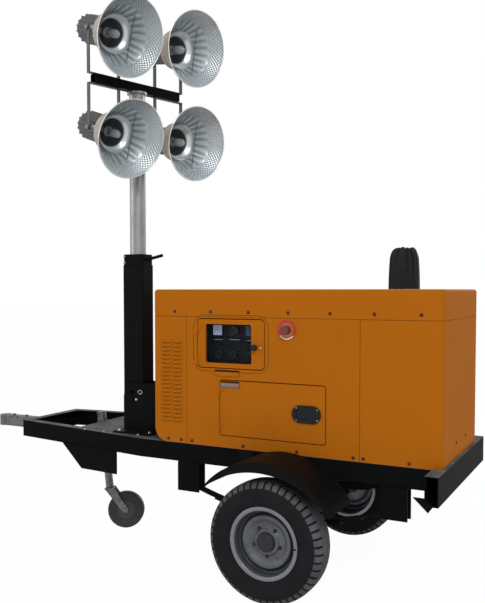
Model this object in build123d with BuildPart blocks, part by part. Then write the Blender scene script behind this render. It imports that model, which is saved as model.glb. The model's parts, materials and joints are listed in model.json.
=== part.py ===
from build123d import *
import math
import os

os.makedirs("parts", exist_ok=True)

# Mobile light tower on a single-axle trailer, in millimetres.
# +X points to the rear, +Y to the trailer's right-hand side, +Z up, ground at Z 0.
# The origin lies under the middle of the whole trailer.

# Running gear
AXLE_X = 760.0
TYRE_R = 297.0
TYRE_W = 165.0
WHEEL_Y = 577.0
BEAD_R = 165.0
FLANGE_R = 180.0
STUB_R = 17.0
CURVE_GAP = 0.3
SPRING_Y = 375.0
SPRING_W = 50.0
LEAF_T = 8.0
EYE_SPAN = 560.0
EYE_Z = 465.0
SPRING_Z = 360.0
FENDER_R = 395.0
FENDER_IN = 405.0
FENDER_OUT = 680.0

# Chassis
DECK_Z = 680.0
RAIL_H = 100.0
RAIL_W = 50.0
RAIL_T = 6.0
RAIL_Y = 400.0
NOSE_X = -1120.0
NOSE_Y = 250.0
BEND_X = -114.0
TAIL_X = 1494.0
BEAM_END_X = 1556.0
DECK_FRONT_X = -640.0
RAIL_Z = DECK_Z - RAIL_H

# Canopy
CAN_X0 = -14.0
CAN_X1 = 1540.0
CAN_Y = 400.0
CAN_TOP = 1500.0
SKIRT_Z = 1357.0
WALL = 20.0
FLOOR_T = 6.0
SEAM_FRONT_X = 188.0
SEAM_REAR_X = 1150.0
REAR_R = 45.0
FOOT_R = 75.0
DOOR_GAP = 5.0
DOOR_T = 14.0

# Mast and head
MAST_X = -290.0
MAST_Y = -166.0
COLUMN_X = 140.0
COLUMN_Y = 108.0
COLUMN_Z0 = 821.0
PIVOT_Z = 858.0
LOCK_Z = 904.0
COLLAR_Z0 = 1642.0
COLLAR_Z1 = 1703.0
TUBE_R = 46.0
BAR_Z = 2660.0
BAR_W = 50.0
BAR_L = 600.0
PAN = 17.0
LAMP_HALF = 230.0
PIVOT_RISE = 270.0
YOKE_IN = 97.0
YOKE_T = 6.0
YOKE_W = 24.0
RIM_R = 222.5
TRUNNION_R = 8.0

# Jockey wheel
JOCKEY_TOP = (-699.0, 0.0, 728.0)
RAKE = 7.4
LEG_TURN = 27.6
TRAIL = 88.0
JOCKEY_R = 112.5
JOCKEY_W = 60.0
JOCKEY_EDGE = 10.0

# Chassis frame: channel rails, tapered nose, cross members, spring hangers and drop plates.
OUTLINE = [
    (NOSE_X, -NOSE_Y), (BEND_X, -RAIL_Y), (TAIL_X, -RAIL_Y),
    (TAIL_X, RAIL_Y), (BEND_X, RAIL_Y), (NOSE_X, NOSE_Y),
]
# x centre, width along X, length along Y
CROSS_MEMBERS = [
    (-605.0, 50.0, 644.0),
    (-70.0, 50.0, 790.0),
    (420.0, 50.0, 790.0),
    (1100.0, 50.0, 790.0),
]
TAPER = math.degrees(math.atan2(RAIL_Y - NOSE_Y, BEND_X - NOSE_X))
HANGER_L = 130.0
HANGER_Z0 = 425.0
HANGER_T = 8.0
with BuildPart() as chassis:
    with BuildSketch(Plane.XY.offset(RAIL_Z)):
        with BuildLine():
            Polyline(*OUTLINE, close=True)
        make_face()
    extrude(amount=RAIL_H)
    with BuildSketch(Plane.XY.offset(RAIL_Z)):
        with BuildLine():
            Polyline(*OUTLINE, close=True)
        make_face()
        offset(amount=-RAIL_W, kind=Kind.INTERSECTION, mode=Mode.REPLACE)
    extrude(amount=RAIL_H, mode=Mode.SUBTRACT)
    with BuildSketch(Plane.XY.offset(RAIL_Z + RAIL_T)):
        with BuildLine():
            Polyline(*OUTLINE, close=True)
        make_face()
        offset(amount=-RAIL_T, kind=Kind.INTERSECTION, mode=Mode.REPLACE)
    extrude(amount=RAIL_H - 2 * RAIL_T, mode=Mode.SUBTRACT)
    for x, width, length in CROSS_MEMBERS:
        with Locations((x, 0, RAIL_Z + 10)):
            Box(width, length, RAIL_H - 16, align=(Align.CENTER, Align.CENTER, Align.MIN))
    for side in (-1, 1):
        for end in (-1, 1):
            eye_x = AXLE_X + end * EYE_SPAN
            with Locations((eye_x, side * SPRING_Y, HANGER_Z0)):
                Box(HANGER_L, SPRING_W + 1 + 2 * HANGER_T, RAIL_Z - HANGER_Z0,
                    align=(Align.CENTER, Align.CENTER, Align.MIN))
            with Locations((eye_x, side * SPRING_Y, HANGER_Z0)):
                Box(HANGER_L + 2, SPRING_W + 1, RAIL_Z - HANGER_Z0 - HANGER_T,
                    align=(Align.CENTER, Align.CENTER, Align.MIN), mode=Mode.SUBTRACT)
            with Locations(Plane(origin=(eye_x, side * SPRING_Y, EYE_Z), z_dir=(0, 1, 0))):
                Cylinder(8, SPRING_W + 2 * HANGER_T + 9)
        taper = Plane(origin=(NOSE_X, side * (NOSE_Y - 2), 0),
                      x_dir=(math.cos(math.radians(TAPER)), side * math.sin(math.radians(TAPER)), 0),
                      z_dir=(-side * math.sin(math.radians(TAPER)) * -1, -math.cos(math.radians(TAPER)), 0))
        with BuildSketch(taper):
            with BuildLine():
                Polyline((375, RAIL_Z + 3), (543, 448), (831, 453), (832, RAIL_Z + 3), close=True)
            make_face()
        extrude(amount=8 * side * -1)
chassis.part.label = "chassis_frame"
export_step(chassis.part, "parts/chassis_frame.step")

with BuildPart() as deck:
    with BuildSketch(Plane.XY.offset(DECK_Z - RAIL_T)):
        with BuildLine():
            Polyline(*OUTLINE, close=True)
        make_face()
        offset(amount=-RAIL_W - 1, kind=Kind.INTERSECTION, mode=Mode.REPLACE)
        with Locations(((DECK_FRONT_X + CAN_X0) / 2, 0)):
            Rectangle(CAN_X0 - DECK_FRONT_X, 2 * RAIL_Y, mode=Mode.INTERSECT)
    extrude(amount=RAIL_T)
deck.part.label = "front_deck"
export_step(deck.part, "parts/front_deck.step")

BEAM_Z0 = 545.0
BEAM_Y = 531.0
BEAM_T = 5.0
with BuildPart() as beam:
    with BuildSketch(Plane(origin=((TAIL_X + BEAM_END_X) / 2, 0, (BEAM_Z0 + DECK_Z) / 2),
                           x_dir=(1, 0, 0), z_dir=(0, -1, 0))):
        Rectangle(BEAM_END_X - TAIL_X, DECK_Z - BEAM_Z0)
        offset(amount=-BEAM_T, kind=Kind.INTERSECTION, mode=Mode.SUBTRACT)
    extrude(amount=BEAM_Y, both=True)
    for side in (-1, 1):
        with BuildSketch(Plane(origin=(0, side * (BEAM_Y - 4), 0), x_dir=(1, 0, 0), z_dir=(0, -1, 0))):
            with BuildLine():
                Polyline((1443, 580), (1511, 517), (1532, BEAM_Z0 + 1), (TAIL_X + 1, 580), close=True)
            make_face()
        extrude(amount=4, both=True)
beam.part.label = "rear_beam"
export_step(beam.part, "parts/rear_beam.step")

# Coupling: bolted flange, shaft and a ball cup that opens downward.
CUP_R = 40.0
BALL_R = 25.4
CUP_Z0 = 581.0
CUP_Z1 = 650.0
CUP_DEPTH = 45.0
CUP_X = CUP_R - BEAM_END_X
with BuildPart() as coupling:
    with Locations((NOSE_X, 0, RAIL_Z + RAIL_H / 2 - 2)):
        Box(12, 170, 92, align=(Align.MAX, Align.CENTER, Align.CENTER))
    with Locations(((CUP_X + NOSE_X) / 2, 0, (CUP_Z0 + CUP_Z1) / 2)):
        Box(NOSE_X - CUP_X, 60, CUP_Z1 - CUP_Z0)
    with Locations((CUP_X, 0, CUP_Z0)):
        Cylinder(CUP_R, CUP_Z1 - CUP_Z0, align=(Align.CENTER, Align.CENTER, Align.MIN))
    with Locations((CUP_X, 0, CUP_Z0)):
        Cylinder(BALL_R, CUP_DEPTH, align=(Align.CENTER, Align.CENTER, Align.MIN), mode=Mode.SUBTRACT)
    with Locations((-1440, 0, CUP_Z1), (-1330, 0, CUP_Z1)):
        Cylinder(11, 9, align=(Align.CENTER, Align.CENTER, Align.MIN))
coupling.part.label = "tow_coupling"
export_step(coupling.part, "parts/tow_coupling.step")

# Axle with spring seats
with BuildPart() as axle:
    with Locations(Plane(origin=(AXLE_X, 0, TYRE_R), z_dir=(0, 1, 0))):
        Cylinder(30, 2 * 470)
        Cylinder(STUB_R, 2 * (WHEEL_Y + 30))
    for side in (-1, 1):
        with Locations((AXLE_X, side * SPRING_Y, TYRE_R)):
            Box(110, SPRING_W, SPRING_Z - LEAF_T * 3.5 - TYRE_R - 0.2,
                align=(Align.CENTER, Align.CENTER, Align.MIN))
axle.part.label = "axle"
export_step(axle.part, "parts/axle.step")

# Leaf springs: the main leaf carries the eyes, the shorter ones lie under it.
LEAF_R = (EYE_SPAN ** 2 + (EYE_Z - SPRING_Z) ** 2) / (2 * (EYE_Z - SPRING_Z))
HALF_MAIN = math.degrees(math.asin(EYE_SPAN / LEAF_R))
# leaf number, half angle
LEAVES = [(0, HALF_MAIN), (1, 15.0), (2, 11.0), (3, 7.0)]
# node name, side
SIDES = [("left", -1), ("right", 1)]
for name, side in SIDES:
    with BuildPart() as spring:
        bend = Plane(origin=(AXLE_X, side * SPRING_Y, SPRING_Z + LEAF_R), x_dir=(1, 0, 0), z_dir=(0, -1, 0))
        for leaf, half in LEAVES:
            with BuildSketch(bend):
                with BuildLine():
                    inner = CenterArc((0, 0), LEAF_R - LEAF_T / 2 + leaf * LEAF_T, 270 - half, 2 * half)
                    outer = CenterArc((0, 0), LEAF_R + LEAF_T / 2 + leaf * LEAF_T, 270 - half, 2 * half)
                    Line(inner @ 0, outer @ 0)
                    Line(inner @ 1, outer @ 1)
                make_face()
            extrude(amount=SPRING_W / 2, both=True)
        for end in (-1, 1):
            with Locations(Plane(origin=(AXLE_X + end * EYE_SPAN, side * SPRING_Y, EYE_Z), z_dir=(0, 1, 0))):
                Cylinder(16, SPRING_W)
                Cylinder(8 + CURVE_GAP, SPRING_W, mode=Mode.SUBTRACT)
    spring.part.label = f"leaf_spring_{name}"
    export_step(spring.part, f"parts/leaf_spring_{name}.step")

# Fenders: a curved sheet with a rolled outer edge and two ears against the rail.
FENDER_T = 3.0
FENDER_A0 = 27.5
FENDER_A1 = 140.0
for name, side in SIDES:
    with BuildPart() as fender:
        arc_plane = Plane(origin=(AXLE_X, side * RAIL_Y, TYRE_R), x_dir=(1, 0, 0), z_dir=(0, -1, 0))
        with BuildSketch(arc_plane):
            with BuildLine():
                inner = CenterArc((0, 0), FENDER_R - FENDER_T, FENDER_A0, FENDER_A1 - FENDER_A0)
                outer = CenterArc((0, 0), FENDER_R, FENDER_A0, FENDER_A1 - FENDER_A0)
                Line(inner @ 0, outer @ 0)
                Line(inner @ 1, outer @ 1)
            make_face()
        extrude(amount=-side * (FENDER_OUT - RAIL_Y))
        with Locations((AXLE_X, side * RAIL_Y, DECK_Z - 0.5)):
            Box(1000, 2 * (FENDER_IN - RAIL_Y), 200,
                align=(Align.CENTER, Align.CENTER, Align.MIN), mode=Mode.SUBTRACT)
        edge_plane = Plane(origin=(AXLE_X, side * (FENDER_OUT - 10), TYRE_R), x_dir=(1, 0, 0), z_dir=(0, -1, 0))
        with BuildSketch(edge_plane):
            with BuildLine():
                inner = CenterArc((0, 0), FENDER_R - 9, FENDER_A0, FENDER_A1 - FENDER_A0)
                outer = CenterArc((0, 0), FENDER_R, FENDER_A0, FENDER_A1 - FENDER_A0)
                Line(inner @ 0, outer @ 0)
                Line(inner @ 1, outer @ 1)
            make_face()
        extrude(amount=-side * 10)
        for end in (-1, 1):
            with Locations((AXLE_X + end * 214, side * (RAIL_Y + 2), 640)):
                Box(80, 4, 70)
    fender.part.label = f"fender_{name}"
    export_step(fender.part, f"parts/fender_{name}.step")

# Canopy
with BuildPart() as floor:
    with BuildSketch(Plane.XY.offset(DECK_Z)):
        with Locations(((CAN_X0 + FOOT_R + CAN_X1 - WALL) / 2, 0)):
            Rectangle(CAN_X1 - WALL - CAN_X0 - FOOT_R, 2 * (CAN_Y - WALL))
        fillet(vertices().group_by(Axis.X)[-1], radius=REAR_R - WALL + 1)
    extrude(amount=FLOOR_T)
floor.part.label = "canopy_floor"
export_step(floor.part, "parts/canopy_floor.step")

with BuildPart() as front:
    with BuildSketch(Plane(origin=(CAN_X0, 0, 0), x_dir=(1, 0, 0), z_dir=(0, -1, 0))):
        with BuildLine():
            outer = CenterArc((FOOT_R, DECK_Z + FOOT_R), FOOT_R, 180, 90)
            inner = CenterArc((FOOT_R, DECK_Z + FOOT_R), FOOT_R - WALL, 180, 90)
            Line(outer @ 1, inner @ 1)
            Polyline(outer @ 0, (0, SKIRT_Z), (WALL, SKIRT_Z), inner @ 0)
        make_face()
    extrude(amount=CAN_Y - WALL, both=True)
front.part.label = "canopy_front"
export_step(front.part, "parts/canopy_front.step")

# Side walls are cut from this elevation, with the front lower corner rounded.
LOUVRE_ROWS = 20
LOUVRE_PITCH = 22.2
LOUVRE_Z0 = 800.0
# x centre, width
LOUVRE_COLUMNS = [(58.0, 62.0), (128.5, 61.0)]
LEFT = Plane(origin=(0, WALL - CAN_Y, 0), x_dir=(1, 0, 0), z_dir=(0, -1, 0))
RIGHT = Plane(origin=(0, CAN_Y, 0), x_dir=(1, 0, 0), z_dir=(0, -1, 0))
FRONT_WALLS = [("canopy_left_front", LEFT), ("canopy_right_front", RIGHT)]
for name, plane in FRONT_WALLS:
    with BuildPart() as wall:
        with BuildSketch(plane):
            with BuildLine():
                foot = CenterArc((CAN_X0 + FOOT_R, DECK_Z + FOOT_R), FOOT_R, 180, 90)
                Polyline(foot @ 1, (SEAM_FRONT_X, DECK_Z), (SEAM_FRONT_X, SKIRT_Z),
                         (CAN_X0, SKIRT_Z), foot @ 0)
            make_face()
            for x, width in LOUVRE_COLUMNS:
                with Locations((x, LOUVRE_Z0 + LOUVRE_PITCH * (LOUVRE_ROWS - 1) / 2)):
                    with GridLocations(1, LOUVRE_PITCH, 1, LOUVRE_ROWS):
                        Rectangle(width, 9, mode=Mode.SUBTRACT)
        extrude(amount=WALL)
    wall.part.label = name
    export_step(wall.part, f"parts/{name}.step")

WINDOW = (257.0, 645.0, 1094.0, 1345.0)
PANE = (303.0, 573.0, 1118.0, 1320.0)
SERVICE = (391.0, 975.0, 745.0, 1029.0)
HINGE_Y = CAN_Y + 4.0
HINGE_R = 4.0
HINGE_L = 24.0
HINGE_LEAF = 26.0
LEAF_SHEET = 2.0
# x of the pin, z of the joint between the two knuckles
WINDOW_HINGES = [(254.5, 1130.0), (254.5, 1290.0)]
SERVICE_HINGES = [(388.5, 790.0), (388.5, 975.0)]
WINDOW_R = 22.0
PANE_R = 12.0
SERVICE_R = 12.0
with BuildPart() as left_mid:
    with BuildSketch(LEFT):
        with Locations(((SEAM_FRONT_X + SEAM_REAR_X) / 2, (DECK_Z + SKIRT_Z) / 2)):
            Rectangle(SEAM_REAR_X - SEAM_FRONT_X, SKIRT_Z - DECK_Z)
        for x0, x1, z0, z1, radius in [WINDOW + (WINDOW_R,), SERVICE + (SERVICE_R,)]:
            with Locations(((x0 + x1) / 2, (z0 + z1) / 2)):
                RectangleRounded(x1 - x0 + 2 * DOOR_GAP, z1 - z0 + 2 * DOOR_GAP,
                                 radius + DOOR_GAP, mode=Mode.SUBTRACT)
    extrude(amount=WALL)
    with Locations((432, -CAN_Y, 1061)):
        Box(144, 12, 16)
    for x, z in WINDOW_HINGES + SERVICE_HINGES:
        with Locations((x, -HINGE_Y, z)):
            Cylinder(HINGE_R, HINGE_L, align=(Align.CENTER, Align.CENTER, Align.MAX))
        with Locations((x, -CAN_Y, z)):
            Box(HINGE_LEAF, LEAF_SHEET, HINGE_L, align=(Align.MAX, Align.MAX, Align.MAX))
left_mid.part.label = "canopy_left_mid"
export_step(left_mid.part, "parts/canopy_left_mid.step")

# Rear walls turn the corner as one panel each, left and right.
for name, side in [("canopy_left_rear", -1), ("canopy_right_rear", 1)]:
    with BuildPart() as corner:
        with BuildSketch(Plane.XY.offset(DECK_Z)):
            with Locations(((SEAM_REAR_X + CAN_X1) / 2, side * (CAN_Y - 50))):
                Rectangle(CAN_X1 - SEAM_REAR_X, 100)
        extrude(amount=SKIRT_Z - DECK_Z)
        rim = corner.edges().filter_by(Axis.Z).group_by(Axis.X)[-1].sort_by(Axis.Y)
        fillet(rim[0] if side < 0 else rim[-1], radius=REAR_R)
        with BuildSketch(Plane.XY.offset(DECK_Z)):
            with Locations(((SEAM_REAR_X + CAN_X1 - WALL) / 2, side * (CAN_Y - WALL - 40))):
                Rectangle(CAN_X1 - WALL - SEAM_REAR_X, 80)
            back = vertices().group_by(Axis.X)[-1].sort_by(Axis.Y)
            fillet(back[0] if side < 0 else back[-1], radius=REAR_R - WALL)
        extrude(amount=SKIRT_Z - DECK_Z, mode=Mode.SUBTRACT)
    corner.part.label = name
    export_step(corner.part, f"parts/{name}.step")

with BuildPart() as right_mid:
    with BuildSketch(RIGHT):
        with Locations(((SEAM_FRONT_X + SEAM_REAR_X) / 2, (DECK_Z + SKIRT_Z) / 2)):
            Rectangle(SEAM_REAR_X - SEAM_FRONT_X, SKIRT_Z - DECK_Z)
        x0, x1, z0, z1 = SERVICE
        with Locations(((x0 + x1) / 2, (z0 + z1) / 2)):
            RectangleRounded(x1 - x0 + 2 * DOOR_GAP, z1 - z0 + 2 * DOOR_GAP,
                             SERVICE_R + DOOR_GAP, mode=Mode.SUBTRACT)
    extrude(amount=WALL)
    for x, z in SERVICE_HINGES:
        with Locations((x, HINGE_Y, z)):
            Cylinder(HINGE_R, HINGE_L, align=(Align.CENTER, Align.CENTER, Align.MAX))
        with Locations((x, CAN_Y, z)):
            Box(HINGE_LEAF, LEAF_SHEET, HINGE_L, align=(Align.MAX, Align.MIN, Align.MAX))
right_mid.part.label = "canopy_right_mid"
export_step(right_mid.part, "parts/canopy_right_mid.step")

with BuildPart() as rear:
    with BuildSketch(Plane.XY.offset(DECK_Z)):
        with Locations((CAN_X1 - WALL / 2, 0)):
            Rectangle(WALL, 2 * (CAN_Y - 100))
    extrude(amount=SKIRT_Z - DECK_Z)
rear.part.label = "canopy_rear"
export_step(rear.part, "parts/canopy_rear.step")

with BuildPart() as roof:
    with BuildSketch(Plane.XY.offset(SKIRT_Z)):
        with Locations(((CAN_X0 + CAN_X1) / 2, 0)):
            Rectangle(CAN_X1 - CAN_X0, 2 * CAN_Y)
        back = vertices().group_by(Axis.X)[-1]
        fillet(back, radius=REAR_R)
    extrude(amount=CAN_TOP - SKIRT_Z)
    fillet(roof.faces().sort_by(Axis.Z)[-1].edges(), radius=15)
    with BuildSketch(Plane.XY.offset(SKIRT_Z)):
        with Locations(((CAN_X0 + CAN_X1) / 2, 0)):
            Rectangle(CAN_X1 - CAN_X0 - 2 * WALL, 2 * (CAN_Y - WALL))
        back = vertices().group_by(Axis.X)[-1]
        fillet(back, radius=REAR_R - WALL)
    extrude(amount=CAN_TOP - SKIRT_Z - WALL, mode=Mode.SUBTRACT)
roof.part.label = "canopy_roof"
export_step(roof.part, "parts/canopy_roof.step")

# Control panel: an open tub behind the window, with two meters and three knobs.
TUB_Y = 60.0
TUB_FACE = 42.0
with BuildPart() as control:
    with BuildSketch(Plane(origin=(0, WALL - CAN_Y + TUB_Y, 0), x_dir=(1, 0, 0), z_dir=(0, -1, 0))):
        with Locations(((WINDOW[0] + WINDOW[1]) / 2, (WINDOW[2] + WINDOW[3]) / 2)):
            Rectangle(WINDOW[1] - WINDOW[0] + 24, WINDOW[3] - WINDOW[2] + 22)
    extrude(amount=TUB_Y)
    with BuildSketch(Plane(origin=(0, WALL - CAN_Y, 0), x_dir=(1, 0, 0), z_dir=(0, -1, 0))):
        with Locations(((WINDOW[0] + WINDOW[1]) / 2, (WINDOW[2] + WINDOW[3]) / 2)):
            Rectangle(WINDOW[1] - WINDOW[0] + 12, WINDOW[3] - WINDOW[2] + 12)
    extrude(amount=-TUB_FACE, mode=Mode.SUBTRACT)
    with BuildSketch(Plane(origin=(0, WALL - CAN_Y + TUB_FACE, 0), x_dir=(1, 0, 0), z_dir=(0, -1, 0))):
        with Locations((346, 1284), (540, 1284)):
            Rectangle(64, 64)
    extrude(amount=8)
    with BuildSketch(Plane(origin=(0, WALL - CAN_Y + TUB_FACE, 0), x_dir=(1, 0, 0), z_dir=(0, -1, 0))):
        with Locations((356, 1160), (440, 1160), (530, 1160)):
            Circle(18)
    extrude(amount=16)
control.part.label = "control_panel"
export_step(control.part, "parts/control_panel.step")

with BuildPart() as window_door:
    with BuildSketch(Plane(origin=(0, DOOR_T - CAN_Y, 0), x_dir=(1, 0, 0), z_dir=(0, -1, 0))):
        with Locations(((WINDOW[0] + WINDOW[1]) / 2, (WINDOW[2] + WINDOW[3]) / 2)):
            RectangleRounded(WINDOW[1] - WINDOW[0], WINDOW[3] - WINDOW[2], WINDOW_R)
        with Locations(((PANE[0] + PANE[1]) / 2, (PANE[2] + PANE[3]) / 2)):
            RectangleRounded(PANE[1] - PANE[0], PANE[3] - PANE[2], PANE_R, mode=Mode.SUBTRACT)
    extrude(amount=DOOR_T)
    with Locations(Plane(origin=(600, -CAN_Y, 1206), z_dir=(0, -1, 0))):
        Cylinder(13, 20, align=(Align.CENTER, Align.CENTER, Align.MIN))
    for x, z in WINDOW_HINGES:
        with Locations((x, -HINGE_Y, z)):
            Cylinder(HINGE_R, HINGE_L, align=(Align.CENTER, Align.CENTER, Align.MIN))
        with Locations((x, -CAN_Y, z)):
            Box(HINGE_LEAF, LEAF_SHEET, HINGE_L, align=(Align.MIN, Align.MAX, Align.MIN))
window_door.part.label = "window_door"
export_step(window_door.part, "parts/window_door.step")

with BuildPart() as pane:
    with BuildSketch(Plane(origin=(0, 8 - CAN_Y, 0), x_dir=(1, 0, 0), z_dir=(0, -1, 0))):
        with Locations(((PANE[0] + PANE[1]) / 2, (PANE[2] + PANE[3]) / 2)):
            RectangleRounded(PANE[1] - PANE[0] - 2 * CURVE_GAP, PANE[3] - PANE[2] - 2 * CURVE_GAP,
                             PANE_R - CURVE_GAP)
    extrude(amount=5)
pane.part.label = "window_pane"
export_step(pane.part, "parts/window_pane.step")

# node name, side
SERVICE_DOORS = [("service_door_left", -1), ("service_door_right", 1)]
for name, side in SERVICE_DOORS:
    x0, x1, z0, z1 = SERVICE
    with BuildPart() as door:
        with BuildSketch(Plane(origin=(0, side * CAN_Y, 0), x_dir=(1, 0, 0), z_dir=(0, -1, 0))):
            with Locations(((x0 + x1) / 2, (z0 + z1) / 2)):
                RectangleRounded(x1 - x0, z1 - z0, SERVICE_R)
        extrude(amount=side * WALL)
        if side < 0:
            with Locations((450, -CAN_Y, 1010)):
                Box(107, 12, 16)
        for x, z in SERVICE_HINGES:
            with Locations((x, side * HINGE_Y, z)):
                Cylinder(HINGE_R, HINGE_L, align=(Align.CENTER, Align.CENTER, Align.MIN))
            with Locations((x, side * (CAN_Y + LEAF_SHEET / 2), z)):
                Box(HINGE_LEAF, LEAF_SHEET, HINGE_L, align=(Align.MIN, Align.CENTER, Align.MIN))
    door.part.label = name
    export_step(door.part, f"parts/{name}.step")

LATCH_C = (877.0, 886.0)
for name, side in [("door_latch_left", -1), ("door_latch_right", 1)]:
    with BuildPart() as latch:
        with BuildSketch(Plane(origin=(0, side * CAN_Y, 0), x_dir=(1, 0, 0), z_dir=(0, -1, 0))):
            with Locations(LATCH_C):
                SlotOverall(153, 88)
        extrude(amount=-side * 7)
        with BuildSketch(Plane(origin=(0, side * (CAN_Y + 7), 0), x_dir=(1, 0, 0), z_dir=(0, -1, 0))):
            with Locations((LATCH_C[0] - 12, LATCH_C[1])):
                RectangleRounded(84, 52, 12)
        extrude(amount=side * 4, mode=Mode.SUBTRACT)
    latch.part.label = name
    export_step(latch.part, f"parts/{name}.step")

with BuildPart() as stop:
    with Locations(Plane(origin=(770, -CAN_Y, 1298), z_dir=(0, -1, 0))):
        Cylinder(50, 3, align=(Align.CENTER, Align.CENTER, Align.MIN))
        Cylinder(16, 24, align=(Align.CENTER, Align.CENTER, Align.MIN))
    with Locations(Plane(origin=(770, -CAN_Y - 22, 1298), z_dir=(0, -1, 0))):
        Cylinder(23, 14, align=(Align.CENTER, Align.CENTER, Align.MIN))
stop.part.label = "emergency_stop"
export_step(stop.part, "parts/emergency_stop.step")

with BuildPart() as engine:
    with Locations((520, 0, DECK_Z + FLOOR_T)):
        Box(860, 440, 560, align=(Align.CENTER, Align.CENTER, Align.MIN))
engine.part.label = "engine_block"
export_step(engine.part, "parts/engine_block.step")

with BuildPart() as exhaust:
    with Locations((1246, 0, CAN_TOP)):
        Box(130, 110, 120, align=(Align.CENTER, Align.CENTER, Align.MIN))
exhaust.part.label = "exhaust_stub"
export_step(exhaust.part, "parts/exhaust_stub.step")

with BuildPart() as cover:
    with Locations((1246, 0, CAN_TOP + 120)):
        Box(140, 124, 90, align=(Align.CENTER, Align.CENTER, Align.MIN))
    fillet(cover.faces().sort_by(Axis.Z)[-1].edges(), radius=24)
cover.part.label = "exhaust_cover"
export_step(cover.part, "parts/exhaust_cover.step")

# Mast foot: base plate, two cheeks and a back web. The mast folds forward on the lower pin.
CHEEK_T = 8.0
CHEEK_GAP = 5.0
CHEEK_Y = COLUMN_Y / 2 + CHEEK_GAP
PIN_R = 12.0
with BuildPart() as post:
    with Locations((-230, MAST_Y, DECK_Z)):
        Box(250, 330, 10, align=(Align.CENTER, Align.CENTER, Align.MIN))
    for side in (-1, 1):
        with BuildSketch(Plane(origin=(0, MAST_Y + side * (CHEEK_Y + CHEEK_T / 2), 0),
                               x_dir=(1, 0, 0), z_dir=(0, -1, 0))):
            with BuildLine():
                Polyline((-350, DECK_Z + 9), (-350, 880), (-335, 960), (-130, 960),
                         (-130, DECK_Z + 9), close=True)
            make_face()
            with Locations((MAST_X, PIVOT_Z), (MAST_X, LOCK_Z)):
                Circle(PIN_R + CURVE_GAP, mode=Mode.SUBTRACT)
        extrude(amount=CHEEK_T / 2, both=True)
    with Locations((-134, MAST_Y, DECK_Z + 9)):
        Box(8, 2 * CHEEK_Y + 2, 271, align=(Align.CENTER, Align.CENTER, Align.MIN))
    with Locations((-136, -306, DECK_Z + 10), (-136, -30, DECK_Z + 10)):
        Cylinder(12, 10, align=(Align.CENTER, Align.CENTER, Align.MIN))
post.part.label = "mast_post"
export_step(post.part, "parts/mast_post.step")

COLUMN_T = 5.0
with BuildPart() as column:
    with BuildSketch(Plane(origin=(MAST_X, MAST_Y, COLUMN_Z0))):
        RectangleRounded(COLUMN_X, COLUMN_Y, 8)
        offset(amount=-COLUMN_T, mode=Mode.SUBTRACT)
    extrude(amount=COLLAR_Z0 - COLUMN_Z0)
    with Locations(Plane(origin=(MAST_X, MAST_Y, PIVOT_Z), z_dir=(0, 1, 0))):
        Cylinder(PIN_R, 2 * (CHEEK_Y + CHEEK_T + 10))
column.part.label = "mast_outer"
export_step(column.part, "parts/mast_outer.step")

with BuildPart() as collar:
    with BuildSketch(Plane(origin=(MAST_X, MAST_Y, COLLAR_Z0))):
        RectangleRounded(COLUMN_X - 10, COLUMN_Y + 8, 14)
        Circle(TUBE_R + 0.5, mode=Mode.SUBTRACT)
    extrude(amount=COLLAR_Z1 - COLLAR_Z0)
    with Locations(Plane(origin=(MAST_X + 60, MAST_Y, 1672), z_dir=(0.9, 0.3, 0.25))):
        Cylinder(9, 100, align=(Align.CENTER, Align.CENTER, Align.MIN))
collar.part.label = "mast_collar"
export_step(collar.part, "parts/mast_collar.step")

TUBE_Z0 = 1180.0
TUBE_Z1 = BAR_Z - BAR_W / 2
with BuildPart() as tube:
    with BuildSketch(Plane(origin=(MAST_X, MAST_Y, TUBE_Z0))):
        Circle(TUBE_R)
        Circle(TUBE_R - 4, mode=Mode.SUBTRACT)
    extrude(amount=TUBE_Z1 - TUBE_Z0)
    with Locations((MAST_X, MAST_Y, TUBE_Z1 - 12)):
        Cylinder(58, 12, align=(Align.CENTER, Align.CENTER, Align.MIN))
tube.part.label = "mast_inner"
export_step(tube.part, "parts/mast_inner.step")

# Head: crossbar, four yokes and four lamps. ALONG runs down the bar, AIM is where the lamps look.
ALONG = (math.sin(math.radians(PAN)), math.cos(math.radians(PAN)), 0)
AIM = (math.cos(math.radians(PAN)), -math.sin(math.radians(PAN)), 0)
with BuildPart() as bar:
    with BuildSketch(Plane(origin=(MAST_X, MAST_Y, BAR_Z), x_dir=AIM, z_dir=ALONG)):
        Rectangle(BAR_W, BAR_W)
        Rectangle(BAR_W - 8, BAR_W - 8, mode=Mode.SUBTRACT)
    extrude(amount=BAR_L / 2, both=True)
bar.part.label = "head_bar"
export_step(bar.part, "parts/head_bar.step")

# number, side along the bar, up or down, pitch at rest in degrees
LAMPS = [(1, -1, 1, -19.0), (2, 1, 1, -11.0), (3, -1, -1, -19.0), (4, 1, -1, -11.0)]
GEAR_R = 88.5
GEAR_BACK = -235.0
NECK_S = 45.0
NECK_R = 110.0
RIM_S = 280.0
SHELL = 3.0
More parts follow.
